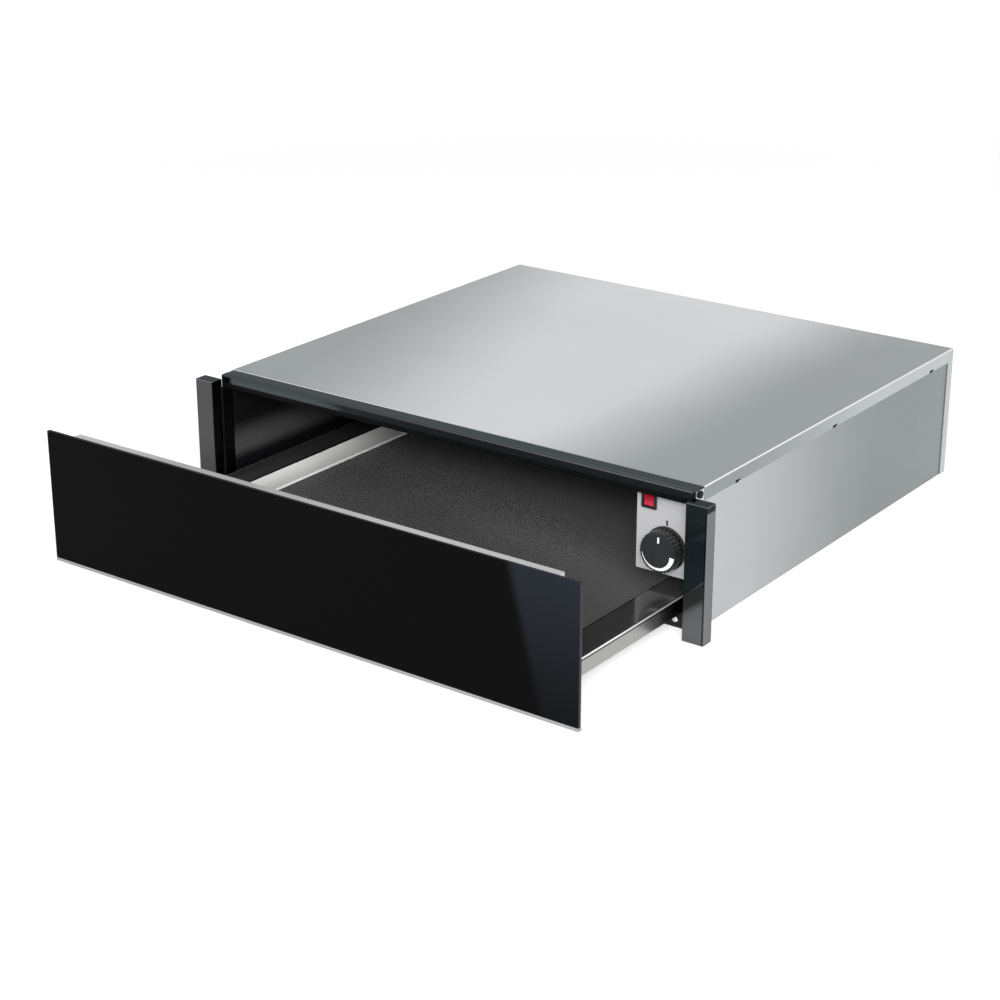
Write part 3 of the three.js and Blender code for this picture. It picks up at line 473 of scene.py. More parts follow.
DARK_POLISH_TINT = (0.55, 0.57, 0.58, 1.0)
LINE_DEPTH = 0.004 * MM
PRINT_DEPTH = 0.004 * MM

# grain that runs across, along or up the cabinet, along the drawn bar, and with no direction of its own
ACROSS, ALONG, UPRIGHT = (9.0, 700.0, 700.0), (700.0, 9.0, 700.0), (500.0, 500.0, 8.0)
DRAWN, EVEN = (3.0, 900.0, 900.0), (500.0, 500.0, 500.0)

# how many smudges there are to a metre, and how much rougher they are
SATIN_MARKS, GLASS_MARKS, POLISH_MARKS = 9.0, 11.0, 22.0
MARK_ROUGHNESS = 0.05


def satin_sheet(name, colour, roughness, stretch, tone=0.05, line=0.04, painted_light=None, metallic=1.0):
    """Satin metal sheet with rolled lines, a slow drift of tone and faint marks.

    The last argument takes the sheet, and returns a second colour of painted light, brighter or darker, and
    the mask of where it is."""
    sheet = Finish(name, colour, Metallic=metallic)
    grain = sheet.grain(stretch)
    clouds = sheet.group("Cloudy sheet", Scale=3.5)
    plain = colour
    if painted_light:
        bright, mask = painted_light(sheet)
        plain = sheet.blend(mask, colour, bright)
    lined = sheet.shade(plain, grain["Tone"], 1 - line)
    sheet.paint(sheet.shade(lined, clouds["Cloud"], 1 - tone))
    lines = sheet.maths("MULTIPLY_ADD", grain["Line"], 0.06, roughness - 0.03)
    sheet.handle(SATIN_MARKS, MARK_ROUGHNESS, lines)
    sheet.bump(grain["Line"], LINE_DEPTH)
    return sheet


def ramp_to(colour, direction, start, end):
    """Painted light that is one soft ramp to another colour."""
    return lambda sheet: (colour, sheet.ramp(direction, start, end))


def polished(name, colour, roughness, stretch, line):
    """Dark polished metal with faint lengthwise lines and smudges in its gloss."""
    metal = Finish(name, colour, Metallic=1.0, Specular_Tint=DARK_POLISH_TINT)
    metal.paint(metal.blend(metal.grain(stretch)["Tone"], scaled(colour, 1 - line), scaled(colour, 1 + line)))
    metal.handle(POLISH_MARKS, MARK_ROUGHNESS, roughness)
    return metal


def moulded(name, colour, roughness, scale=1100.0, depth=0.03 * MM, contrast=0.15, ior=1.5):
    """Moulded plastic or rubber with a fine pebbled skin."""
    plastic = Finish(name, colour, IOR=ior)
    skin = plastic.group("Pebbled skin", Scale=scale)
    plastic.paint(plastic.blend(skin["Tone"], scaled(colour, 1 - contrast), scaled(colour, 1 + contrast)))
    plastic.roughen(plastic.maths("MULTIPLY_ADD", skin["Height"], 0.12, roughness - 0.06))
    plastic.bump(skin["Height"], depth)
    return plastic


# ------------------------------------------------------------------ finishes of the cabinet and the frame


def painted_cover_highlight(sheet):
    """The painted highlight: a broad bright band from front to back over the middle of the cover."""
    left = sheet.ramp((1.0, 0.31, 0.0), -0.296, -0.056)
    right = sheet.ramp(LEFT, -0.22, -0.06)
    return colours().cabinet_painted_highlight, sheet.maths("MULTIPLY", left, right)


def cabinet_steel():
    """Satin sheet of the top cover, with its lines from side to side, and the painted highlight band over its
    middle.
    """
    return satin_sheet("cabinet satin steel", colours().cabinet, 0.36, ACROSS, painted_light=painted_cover_highlight)


def side_steel():
    """The sides are a darker copy of the cover's sheet, as painted shade, and brightest next to the front
    frame by a painted highlight.
    """
    return satin_sheet(
        "side satin steel", scaled(colours().cabinet, 0.875), 0.36, ALONG,
        painted_light=ramp_to(colours().side_painted_highlight, FRONT, -0.1, 0.22),
    )


def zinc_steel():
    """Zinc coated sheet of the parts that are built in."""
    zinc = Finish("zinc coated steel", Metallic=1.0)
    spangle = zinc.group("Zinc spangle", Scale=260.0)
    zinc.paint(zinc.blend(spangle["Crystal"], (0.53, 0.545, 0.55), (0.61, 0.62, 0.62)))
    zinc.roughen(zinc.spread(spangle["Gloss"], 0.0, 1.0, 0.34, 0.5))
    return zinc


def dark_post():
    """Dark polish with slanted bands of painted reflection, cooler above and deeper below the middle.

    A painted dark reflection runs down its right edge."""
    post = Finish("polished dark post", Metallic=0.95, Specular_Tint=DARK_POLISH_TINT)
    toned = (0.05, 0.068, 0.072)
    for start, end, tone in (
        (78 * MM, 84 * MM, (0.095, 0.125, 0.15)),
        (126 * MM, 131 * MM, (0.052, 0.054, 0.056)),
        (142 * MM, 152 * MM, scaled(colours().frame, 1.06)),
    ):
        toned = post.blend(post.ramp((0.64, 0.0, -1.0), start, end), toned, tone)
    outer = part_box("right_frame_post")[1].x
    toned = post.blend(post.ramp(RIGHT, outer - 2.3 * MM, outer - 1.7 * MM), toned, (0.028, 0.03, 0.032))
    post.paint(post.shade(toned, post.grain(UPRIGHT)["Tone"], 0.93))
    post.handle(POLISH_MARKS, MARK_ROUGHNESS, 0.07)
    return post


# painted shade: the left post is a darker copy of the frame's polish
def dark_post_left():
    return polished("polished dark post left", scaled(colours().frame, 0.72), 0.09, UPRIGHT, 0.04)


def dark_post_side():
    """The posts' outer sides, painted paler than their fronts as painted light.

    A band of painted shade runs under the top, and a dark line down the back."""
    colour = scaled(colours().frame, 1.75)
    side = Finish("polished dark post side", Metallic=1.0, Specular_Tint=DARK_POLISH_TINT)
    low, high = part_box("right_frame_post")
    back = low.y + 14 * MM
    band = side.ramp(UP, high.z - 6.5 * MM, high.z - 5.0 * MM)
    line = side.ramp(BACK, back - 1.5 * MM, back - 1.0 * MM)
    toned = side.blend(side.grain(UPRIGHT)["Tone"], scaled(colour, 0.94), scaled(colour, 1.06))
    side.paint(side.blend(side.maths("MAXIMUM", band, line), toned, (0.026, 0.029, 0.03)))
    side.handle(POLISH_MARKS, MARK_ROUGHNESS, 0.09)
    return side


def dark_bar():
    return polished("polished dark bar", colours().bar, 0.14, DRAWN, 0.22)


def bar_edge_painted_highlight():
    """The front edge of the bar, with a painted highlight that grows brighter towards its right end."""
    edge = Finish("worked edge of the bar", Metallic=1.0, Roughness=0.3, Specular_Tint=DARK_POLISH_TINT)
    toned = edge.blend(edge.ramp(RIGHT, -0.1, 0.27), (0.075, 0.08, 0.082), (0.155, 0.16, 0.16))
    edge.paint(edge.shade(toned, edge.grain(DRAWN)["Tone"], 0.7))
    return edge


def cavity_enamel():
    """Dark glossy enamel of the liner, with a broad paler band of painted reflection along it."""
    enamel = Finish("dark cavity enamel")
    low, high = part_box("left_cavity_wall")
    rise = enamel.ramp(UP, low.z + 38 * MM, low.z + 52 * MM)
    fall = enamel.ramp(DOWN, 38 * MM - high.z, 64 * MM - high.z)
    band = enamel.maths("MULTIPLY", rise, fall)
    grain = enamel.grain((500.0, 6.0, 500.0))
    toned = enamel.blend(band, (0.006, 0.006, 0.007), (0.075, 0.075, 0.077))
    enamel.paint(enamel.shade(toned, grain["Tone"], 0.8))
    enamel.roughen(enamel.maths("MULTIPLY_ADD", grain["Line"], 0.08, 0.18))
    return enamel


def black_enamel():
    """Textured black enamel inside the cabinet."""
    enamel = Finish("black satin enamel", IOR=1.35)
    pebbles = enamel.group("Pebbled skin", Scale=700.0)
    enamel.paint(enamel.blend(pebbles["Tone"], (0.004, 0.004, 0.0045), (0.008, 0.008, 0.0085)))
    enamel.roughen(enamel.maths("MULTIPLY_ADD", pebbles["Tone"], 0.08, 0.46))
    enamel.bump(pebbles["Height"], 0.02 * MM)
    return enamel


# ------------------------------------------------------------------ finishes of the drawer


def tray_steel():
    """Satin stainless, with a painted highlight that is brightest towards the front, and painted shade that
    darkens it down the tray's walls.
    """
    steel = satin_sheet(
        "tray satin stainless", (0.86, 0.86, 0.85), 0.4, (900.0, 10.0, 900.0), line=0.03, tone=0.02,
        painted_light=ramp_to((1.0, 1.0, 0.985), FRONT, 0.03, 0.15), metallic=0.04,
    )
    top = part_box("left_rim_cap")[0].z
    steel.paint(steel.shade(steel.base, steel.ramp(UP, top - 20 * MM, top), 0.64))
    return steel


def skirt_steel():
    """Satin stainless with a painted shadow line under the rolled bead."""
    steel = satin_sheet("skirt satin stainless", colours().skirt, 0.26, (900.0, 8.0, 900.0), line=0.1)
    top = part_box("left_side_skirt")[1].z
    over = steel.ramp(UP, top - 3.4 * MM, top - 2.6 * MM)
    under = steel.ramp(DOWN, 1.3 * MM - top, 1.9 * MM - top)
    steel.paint(steel.blend(steel.maths("MULTIPLY", over, under), steel.base, (0.03, 0.03, 0.03)))
    return steel


def bright_steel():
    """Bright rolled steel of the slides and the shafts."""
    steel = Finish("bright slide steel", Metallic=1.0)
    grain = steel.grain((600.0, 14.0, 600.0))
    steel.paint(steel.blend(grain["Tone"], (0.6, 0.6, 0.59), (0.74, 0.74, 0.73)))
    steel.roughen(steel.maths("MULTIPLY_ADD", grain["Line"], 0.1, 0.2))
    steel.bump(grain["Line"], LINE_DEPTH)
    return steel


def glossy_rim():
    """Dark enamelled rim that still mirrors what stands over it, softly, with a painted black line of shade
    along its inner edges.
    """
    rim = Finish("glossy dark rim", IOR=1.36)
    toned = rim.blend(rim.grain((500.0, 5.0, 500.0))["Tone"], (0.027, 0.027, 0.028), (0.037, 0.037, 0.038))
    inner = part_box("right_rim_cap")[0].x
    sides = [rim.ramp(side, inner + 0.9 * MM, inner + 1.5 * MM) for side in (LEFT, RIGHT)]
    rim.paint(rim.blend(rim.maths("MAXIMUM", *sides), (0.001, 0.001, 0.001), toned))
    rim.handle(POLISH_MARKS, 0.06, 0.1)
    return rim


def non_slip_mat():
    """The mat's raised dots, shaded where the cabinet stands over it and a little at its front left."""
    colour = colours().mat
    mat = Finish("non-slip mat", colour, IOR=1.4)
    weave = mat.group("Dotted weave", Pitch=sizes().mat_pitch)
    dotted = mat.blend(weave["Shade"], scaled(colour, 0.28), scaled(colour, 2.75))
    clouded = mat.shade(dotted, mat.group("Cloudy sheet", Scale=5.0)["Cloud"], 0.9)
    fronted = mat.shade(clouded, mat.ramp((-0.25, -0.8, 0.0), 0.12, 0.18), 1.0, 0.72)
    rear = mat.maths("MULTIPLY", mat.ramp(BACK, -0.065, 0.01), 0.88)
    mat.paint(mat.blend(rear, fronted, (0.004, 0.004, 0.004)))
    mat.roughen(mat.spread(weave["Shade"], 0.0, 1.0, 0.8, 0.6))
    mat.bump(weave["Height"], 0.16 * MM)
    return mat


def carrier_painted_highlight(sheet):
    """Painted highlight: the carrier's top is brightest towards its ends."""
    ends = sheet.ramp(RIGHT, -0.05, 0.15), sheet.ramp(LEFT, 0.14, 0.22)
    return (0.52, 0.525, 0.52), sheet.maths("MAXIMUM", *ends)


def pale_trim():
    """Pale trim under the glass, with the darker line of its lower fold."""
    trim = satin_sheet("pale trim", (0.3, 0.302, 0.304), 0.45, (6.0, 700.0, 700.0), line=0.03, metallic=0.2)
    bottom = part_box("bottom_trim")[0].z
    fold = trim.ramp(DOWN, -(bottom + 1.7 * MM), -(bottom + 1.1 * MM))
    trim.paint(trim.blend(fold, trim.base, (0.27, 0.27, 0.27)))
    return trim


def black_glass():
    """Black glass with the paler, bluish reflection that slants down its right end."""
    colour = colours().glass
    glass = Finish("black glass", colour, IOR=1.1)
    low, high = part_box("glass_front")
    bluish = glass.blend(
        glass.ramp(UP, low.z - 20 * MM, high.z + 30 * MM), (0.0033, 0.0036, 0.0044), (0.0126, 0.015, 0.0203)
    )
    slant = glass.ramp((1.0, 0.0, 0.26), high.x - 41 * MM, high.x - 29 * MM)
    glass.paint(glass.blend(slant, colour, bluish))
    glass.handle(GLASS_MARKS, 0.03, 0.02)
    return glass


def glass_edge():
    """The ground edge of the glass front."""
    edge = Finish("ground glass edge", Roughness=0.25, IOR=1.25)
    clouds = edge.group("Cloudy sheet", Scale=40.0)
    edge.paint(edge.blend(clouds["Cloud"], (0.009, 0.011, 0.012), (0.016, 0.019, 0.021)))
    return edge


# ------------------------------------------------------------------ finishes of the controls and the heater


def red_rocker():
    """Red plastic, with a painted highlight that makes it paler towards its foot."""
    colour = colours().rocker
    rocker = Finish("red rocker plastic", colour, Roughness=0.3, Coat_Weight=0.3, Coat_Roughness=0.12)
    middle = middle_of("switch_rocker").z
    rocker.paint(rocker.blend(rocker.ramp(UP, middle - 5 * MM, middle + 5 * MM), (0.5, 0.03, 0.055), colour))
    return rocker


def heater_sheath():
    """Steel tube of the heater, browned by its heat."""
    sheath = Finish("heater sheath", Metallic=1.0)
    clouds = sheath.group("Cloudy sheet", Scale=30.0)
    sheath.paint(sheath.blend(clouds["Cloud"], (0.16, 0.13, 0.11), (0.26, 0.24, 0.22)))
    sheath.roughen(sheath.spread(clouds["Speck"], 0.0, 1.0, 0.4, 0.55))
    return sheath


def mineral_wool():
    """Loose fibres of the insulation."""
    wool = Finish("mineral wool", Roughness=0.95)
    fibres = wool.group("Pebbled skin", Scale=420.0)
    wool.paint(wool.blend(fibres["Height"], (0.42, 0.37, 0.26), (0.66, 0.61, 0.48)))
    wool.bump(fibres["Height"], 1.2 * MM)
    return wool


# finishes that one call makes: family, name of the material, colour, roughness, and what else is its own
FAMILY_FINISHES = {
    # painted shade: the turned down edges of the cover are darker towards the front
    "fold_steel": (
        satin_sheet, "folded edge satin steel", (0.503, 0.528, 0.535), 0.36,
        {"stretch": ALONG, "painted_light": ramp_to((0.278, 0.297, 0.3), FRONT, -0.14, 0.2)},
    ),
    # painted highlight on the round folds of the cover's sides
    "fold_painted_highlight": (satin_sheet, "fold burnished by the press", (0.9, 0.91, 0.91), 0.3, {"stretch": ALONG}),
    # the front fold of the cover carries a painted highlight on its left, and is plain on its right
    "front_fold": (
        satin_sheet, "front fold", (0.3, 0.32, 0.32), 0.36,
        {"stretch": ACROSS, "painted_light": ramp_to((0.9, 0.91, 0.91), LEFT, -0.12, 0.1)},
    ),
    # painted highlight: the tray's inner corner is painted whiter than the tray
    "corner_steel": (
        satin_sheet, "rounded tray corner", (1.0, 1.0, 0.985), 0.35,
        {"stretch": (900.0, 10.0, 900.0), "line": 0.02, "tone": 0.01, "metallic": 0.02},
    ),
    # painted highlight: the bead is brightest next to the glass front
    "bead_steel": (
        satin_sheet, "burnished bead", (0.42, 0.42, 0.41), 0.3,
        {
            "stretch": (900.0, 8.0, 900.0), "line": 0.04, "metallic": 0.4,
            "painted_light": ramp_to((0.92, 0.92, 0.9), FRONT, 0.27, 0.37),
        },
    ),
    "screw_steel": (
        satin_sheet, "screw head zinc", (0.95, 0.95, 0.96), 0.22, {"stretch": EVEN, "line": 0.05},
    ),
    "silver_plate": (
        satin_sheet, "silver control plate", (0.72, 0.72, 0.735), 0.2,
        {"stretch": (8.0, 500.0, 500.0), "line": 0.02, "metallic": 0.4},
    ),
    "silver_carrier": (
        satin_sheet, "silver carrier", (0.4, 0.405, 0.4), 0.4,
        {"stretch": (6.0, 800.0, 800.0), "line": 0.08, "painted_light": carrier_painted_highlight},
    ),
    "fan_aluminium": (
        satin_sheet, "fan aluminium", (0.66, 0.67, 0.68), 0.3, {"stretch": (300.0,) * 3, "line": 0.06},
    ),
    "copper_tube": (
        satin_sheet, "copper tube", (0.72, 0.36, 0.19), 0.26, {"stretch": (200.0,) * 3, "line": 0.08},
    ),
    # painted shade: the tops of the posts are darker than their fronts
    "dark_post_top": (
        polished, "polished dark post top", (0.032, 0.036, 0.038), 0.16, {"stretch": EVEN, "line": 0.04},
    ),
    # painted highlight on the rounded edges of the posts
    "dark_edge": (polished, "burnished edge", (0.5, 0.5, 0.49), 0.25, {"stretch": EVEN, "line": 0.1}),
    # painted dark reflection down the upright edges of the posts
    "dark_seam": (
        polished, "shaded upright edge", (0.03, 0.032, 0.034), 0.2, {"stretch": EVEN, "line": 0.05},
    ),
    # black of the end blocks and corner screws, and painted shade on faces in gaps, under the bar and looking
    # into the drawer
    "shaded_black": (moulded, "black in the gap", (0.006, 0.0068, 0.0072), 0.6, {"ior": 1.25}),
    "black_plastic": (moulded, "black moulded plastic", (0.016, 0.016, 0.017), 0.36, {}),
    "knob_plastic": (
        moulded, "knob black plastic", (0.02, 0.022, 0.0235), 0.42, {"scale": 1600.0, "ior": 1.42},
    ),
    "knob_flank": (
        moulded, "knob glossy flank", (0.002, 0.002, 0.0022), 0.13,
        {"scale": 1600.0, "depth": 0.01 * MM, "ior": 1.48},
    ),
    "black_rubber": (moulded, "black rubber seal", (0.0025, 0.003, 0.0032), 0.7, {"ior": 1.2}),
    "cream_plastic": (moulded, "cream moulded plastic", (0.6, 0.55, 0.43), 0.4, {}),
    "white_print": (
        moulded, "white print", (0.86, 0.87, 0.88), 0.45, {"depth": PRINT_DEPTH, "contrast": 0.02},
    ),
    "black_print": (moulded, "black print", (0.01, 0.01, 0.011), 0.5, {"depth": PRINT_DEPTH}),
    "motor_enamel": (moulded, "motor enamel", (0.03, 0.031, 0.033), 0.38, {"scale": 500.0}),
}
OWN_FINISHES = {
    maker.__name__: maker
    for maker in (
        cabinet_steel, side_steel, zinc_steel, dark_post, dark_post_left, dark_post_side, dark_bar,
        bar_edge_painted_highlight, cavity_enamel, black_enamel, tray_steel, skirt_steel, bright_steel, glossy_rim,
        non_slip_mat, pale_trim, black_glass, glass_edge, red_rocker, heater_sheath, mineral_wool,
    )
}
made_finishes = {}


def finish(name):
    """The material of that finish, made when it is first asked for."""
    if name not in made_finishes:
        if name in OWN_FINISHES:
            made = OWN_FINISHES[name]()
        else:
            family, label, colour, roughness, own = FAMILY_FINISHES[name]
            made = family(label, colour, roughness, **own)
        made_finishes[name] = made.material
    return made_finishes[name]


# ------------------------------------------------------------------ shapes

WELD_REACH = 0.002 * MM
FLAT_ANGLE = math.radians(0.6)
SHARP_ANGLE = math.radians(38)


def smooth(shape):
    """Smooth shading that leaves flat faces flat."""
    shape.data.polygons.foreach_set("use_smooth", [True] * len(shape.data.polygons))
    shading = shape.modifiers.new("Flat faces shaded flat", "WEIGHTED_NORMAL")
    shading.keep_sharp = True
    shading.weight = 80


def ease(shape, edge, segments=2, edge_finish=-1):
    """Rounds a shape's sharp edges by modifiers. edge_finish is the rounding's own material slot."""
    weld = shape.modifiers.new("Joined corners", "WELD")
    weld.merge_threshold = WELD_REACH
    flat = shape.modifiers.new("Whole faces", "DECIMATE")
    flat.decimate_type = "DISSOLVE"
    flat.angle_limit = FLAT_ANGLE
    bevel = shape.modifiers.new("Eased edges", "BEVEL")
    bevel.width = edge
    bevel.segments = segments
    bevel.limit_method = "ANGLE"
    bevel.angle_limit = SHARP_ANGLE
    bevel.use_clamp_overlap = True
    bevel.material = edge_finish
    smooth(shape)


def dress(rows):
    """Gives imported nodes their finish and, by modifiers, eased edges. rows are (nodes, finish, edge)."""
    for nodes, material, edge in rows:
        for node in nodes.split():
            shape = NODES[node]
            shape.data.materials.clear()
            shape.data.materials.append(finish(material))
            if edge:
                ease(shape, edge)


def new_piece(name, mesh, body, slot, *materials):
    """Puts a made mesh in the scene, on a body and with its finishes."""
    data = bpy.data.meshes.new(name)
    mesh.to_mesh(data)
    mesh.free()
    shape = bpy.data.objects.new(name, data)
    bpy.context.scene.collection.objects.link(shape)
    for material in materials:
        data.materials.append(finish(material))
    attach(shape, body)
    return shape


def copied(node):
    """A node's mesh as a new bmesh, with its corners joined and its flat faces whole."""
    mesh = bmesh.new()
    mesh.from_mesh(NODES[node].data)
    bmesh.ops.remove_doubles(mesh, verts=mesh.verts, dist=WELD_REACH)
    bmesh.ops.dissolve_limit(mesh, angle_limit=FLAT_ANGLE, verts=mesh.verts, edges=mesh.edges, delimit=set())
    return mesh


def rebuilt(node, name, slot, materials, choose, edge, edge_finish=-1):
    """A node's shape as a new piece with a finish of its own on each face. choose gives a face's finish."""
    mesh = copied(node)
    for face in mesh.faces:
        face.material_index = choose(face)
    shape = new_piece(name, mesh, NODES[node]["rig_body"], slot, *materials)
    ease(shape, edge, edge_finish=edge_finish)
    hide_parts(node)
    return shape


def lofted(rows):
    """A closed shape over rows of corners, each row one of its sections."""
    mesh = bmesh.new()
    made = [[mesh.verts.new(corner) for corner in row] for row in rows]
    for first, second in zip(made, made[1:]):
        for i in range(len(first)):
            j = (i + 1) % len(first)
            mesh.faces.new((first[i], first[j], second[j], second[i]))
    mesh.faces.new(list(reversed(made[0])))
    mesh.faces.new(made[-1])
    bmesh.ops.recalc_face_normals(mesh, faces=mesh.faces)
    return mesh


def ring(radii, y, centre):
    """A closed ring of corners round a line along Y."""
    turns = [2 * math.pi * step / len(radii) for step in range(len(radii))]
    return [
        (centre.x + radius * math.sin(turn), y, centre.z + radius * math.cos(turn))
        for radius, turn in zip(radii, turns)
    ]


def quarter_turn(steps=6):
    """Angles from 0 to 90 degrees, in equal steps."""
    return [math.radians(90 / steps * step) for step in range(steps + 1)]


def flat_print(name, outline, y, thickness, body, slot, material):
    """A thin raised print on a face that looks to the front. outline is (x, z) corners."""
    mesh = lofted([[(x, depth, z) for x, z in outline] for depth in (y, y - thickness)])
    new_piece(name, mesh, body, slot, material)


def applied(shape):
    """Turns a shape's modifiers into its mesh."""
    bpy.context.view_layer.update()
    done = bpy.data.meshes.new_from_object(shape.evaluated_get(bpy.context.evaluated_depsgraph_get()))
    shape.modifiers.clear()
    shape.data = done


def cut_away(shape, mesh):
    """Cuts a made mesh out of a shape."""
    data = bpy.data.meshes.new("cutter")
    mesh.to_mesh(data)
    mesh.free()
    cutter = bpy.data.objects.new("cutter", data)
    bpy.context.scene.collection.objects.link(cutter)
    gone = shape.modifiers.new("Cut away", "BOOLEAN")
    gone.operation = "DIFFERENCE"
    gone.solver = "EXACT"
    gone.object = cutter
    applied(shape)
    bpy.data.objects.remove(cutter)


# ------------------------------------------------------------------ pieces of the cabinet and the frame


def folded_cover():
    """The top cover again, with the round folds that a press brake leaves."""
    sheet, side, fold, front, front_bend = range(5)
    mesh = copied("top_cover")
    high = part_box("top_cover")[1]
    near = 0.02 * MM
    # the turned down sides take painted shade towards the front, and the front faces under the bar are black
    # as painted shade
    for face in mesh.faces:
        turned_down = abs(face.normal.x) > FACES_ALONG
        face.material_index = side if turned_down else front if face.normal.y < -FACES_ALONG else sheet
    folds = [
        rim
        for rim in mesh.edges
        if all(abs(v.co.z - high.z) < near and abs(abs(v.co.x) - high.x) < near for v in rim.verts)
    ]
    rounded = bmesh.ops.bevel(
        mesh, geom=folds, offset=sizes().fold_radius, offset_type="OFFSET", segments=5, profile=0.5,
        affect="EDGES", clamp_overlap=True, material=fold,
    )
    # the round folds carry a painted highlight, and the front bend one on its left
    for face in rounded["faces"]:
        bent = fold if abs(face.normal.x) > 0.1 else sheet
        face.material_index = front_bend if face.normal.y < -0.1 else bent
    cover = new_piece(
        "top_cover_folded", mesh, "cabinet", "cabinet_sheet",
        "cabinet_steel", "fold_steel", "fold_painted_highlight", "shaded_black", "front_fold",
    )
    ease(cover, sizes().sheet_edge)
    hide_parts("top_cover")


def frame_post(side):
    """A post of the frame, with painted shade that dulls its top, painted light that makes its sides paler,
    and painted highlights on its edges.
    """
    face_finish, top, outside, shaded, edge, painted_dark_upright = range(6)
    node = f"{side}_frame_post"
    low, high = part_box(node)
    reach = max(abs(low.x), abs(high.x))
    shell, outer_wall = reach - 22.2 * MM, reach - 7.2 * MM

    def choose(face):
        middle = face.calc_center_median()
        if face.normal.z > FACES_ALONG:
            return top
        if abs(middle.x) < shell and face.normal.y < -0.5:
            return shaded
        return outside if abs(face.normal.x) > FACES_ALONG and abs(middle.x) > outer_wall else face_finish

    main_finish = "dark_post_left" if side == "left" else "dark_post"
    post = rebuilt(
        node, f"{side}_post", "polished_dark_frame",
        (main_finish, "dark_post_top", "dark_post_side", "shaded_black", "dark_edge", "dark_seam"),
        choose, sizes().frame_edge, edge_finish=edge,
    )
    applied(post)
    # edge roundings by the inner faces take painted shade, and the other upright edges a painted dark
    # reflection
    for part in post.data.polygons:
        if part.material_index != edge:
            continue
        if abs(part.center.x) < shell + 1.5 * MM and part.center.y > low.y + 3 * MM:
            part.material_index = shaded
        elif abs(part.normal.z) < 0.2 and part.center.x > low.x + 2 * MM:
            part.material_index = painted_dark_upright
    # the leg stands back by a hair, clear of the closed drawer's skirt
    leg_front, leg_clearance = low.y + 12 * MM, 0.06 * MM
    for corner in post.data.vertices:
        if abs(corner.co.x) < shell + 0.4 * MM and abs(corner.co.y - leg_front) < 0.2 * MM:
            corner.co.y += leg_clearance


def corner_plate(side):
    """A corner plate, bright zinc on the outside, and black as painted shade where it looks into the drawer.
    """
    zinc, shaded = range(2)
    inward = -SIGNS[side]
    rebuilt(
        f"{side}_corner_plate", f"{side}_plate", "zinc_steel", ("zinc_steel", "shaded_black"),
        lambda face: shaded if face.normal.y < -0.5 or inward * face.normal.x > 0.5 else zinc,
        sizes().sheet_edge,
    )


def gap_strip(side):
    """The dark strip between a post's shell and its leg, in front of the side panel's edge, black as painted
    shade in that gap.
    """
    panel_low, panel_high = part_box(f"{side}_side_panel")
    panel = max(abs(panel_low.x), abs(panel_high.x))
    inner, outer = panel - 0.95 * MM, panel + 0.55 * MM
    front, back = panel_low.y - 2.4 * MM, panel_low.y - 0.05 * MM
    section = (inner, front), (outer, front), (outer, back), (inner, back)
    heights = panel_low.z + 1.0 * MM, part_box("top_bar")[0].z - 5.4 * MM
    mesh = lofted([[(SIGNS[side] * x, y, z) for x, y in section] for z in heights])
    ease(new_piece(f"{side}_gap_strip", mesh, "cabinet", "polished_dark_frame", "shaded_black"), 0.1 * MM)


def corner_block(side):
    """The dark block that closes the corner between a post, the bar and the corner plate."""
    bar_low, bar_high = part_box("top_bar")
    near, far = bar_high.x - 1.0 * MM, bar_high.x + 0.95 * MM
    front, back = bar_low.y + 0.05 * MM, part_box(f"{side}_corner_plate")[0].y - 0.05 * MM
    bottom = bar_low.z - 5.6 * MM
    rows = []
    for x, drop in ((near, 0.0), (far - 0.9 * MM, 0.1 * MM), (far - 0.35 * MM, 0.45 * MM), (far, 1.2 * MM)):
        top = bar_high.z - drop
        section = (
            (front, bottom), (front, top - 0.9 * MM), (front + 0.8 * MM, top - 0.1 * MM),
            (back, top - 0.1 * MM), (back, bottom),
        )
        rows.append([(SIGNS[side] * x, y, z) for y, z in section])
    block = new_piece(f"{side}_corner_block", lofted(rows), "cabinet", "polished_dark_frame", "shaded_black")
    ease(block, 0.25 * MM)


def top_bar():
    """The bar over the drawer: a drawn strip with a worked front edge, and rounded at its ends."""
    low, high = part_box("top_bar")
    corner = 3.0 * MM
    half = high.x + 1.2 * MM
    profile = [
        (low.y, low.z), (low.y, high.z - 1.7 * MM), (low.y + 0.35 * MM, high.z - 1.0 * MM),
        (low.y + 1.1 * MM, high.z - 0.55 * MM), (low.y + 3.6 * MM, high.z - 0.2 * MM),
        (low.y + 3.9 * MM, high.z - 0.45 * MM), (low.y + 4.3 * MM, high.z - 0.1 * MM),
        (high.y + 0.4 * MM, high.z + 0.27 * MM), (high.y + 0.4 * MM, low.z),
    ]

    def section(side, turn):
        """The profile at one place of an end's rounding, drawn back and down."""
        x = side * (half - corner + corner * math.sin(turn))
        back = corner * (1 - math.cos(turn))
        return [
            (
                x,
                y + back * (1 - (y - low.y) / (high.y - low.y)),
                z - 0.5 * back * max(0.0, (z - low.z) / (high.z - low.z)),
            )
            for y, z in profile
        ]

    left = [section(-1, turn) for turn in reversed(quarter_turn())]
    mesh = lofted(left + [section(1, turn) for turn in quarter_turn()])
    highlight_depth = low.y + 1.6 * MM + corner
    # the slanted faces of the front edge take the painted highlight of the edge finish
    for face in mesh.faces:
        slanted = face.normal.z > 0.3 and face.normal.y < -0.3
        face.material_index = 1 if slanted and face.calc_center_median().y < highlight_depth else 0
    bar = new_piece("top_bar_strip", mesh, "cabinet", "polished_dark_frame", "dark_bar", "bar_edge_painted_highlight")
    ease(bar, 0.2 * MM)
    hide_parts("top_bar")


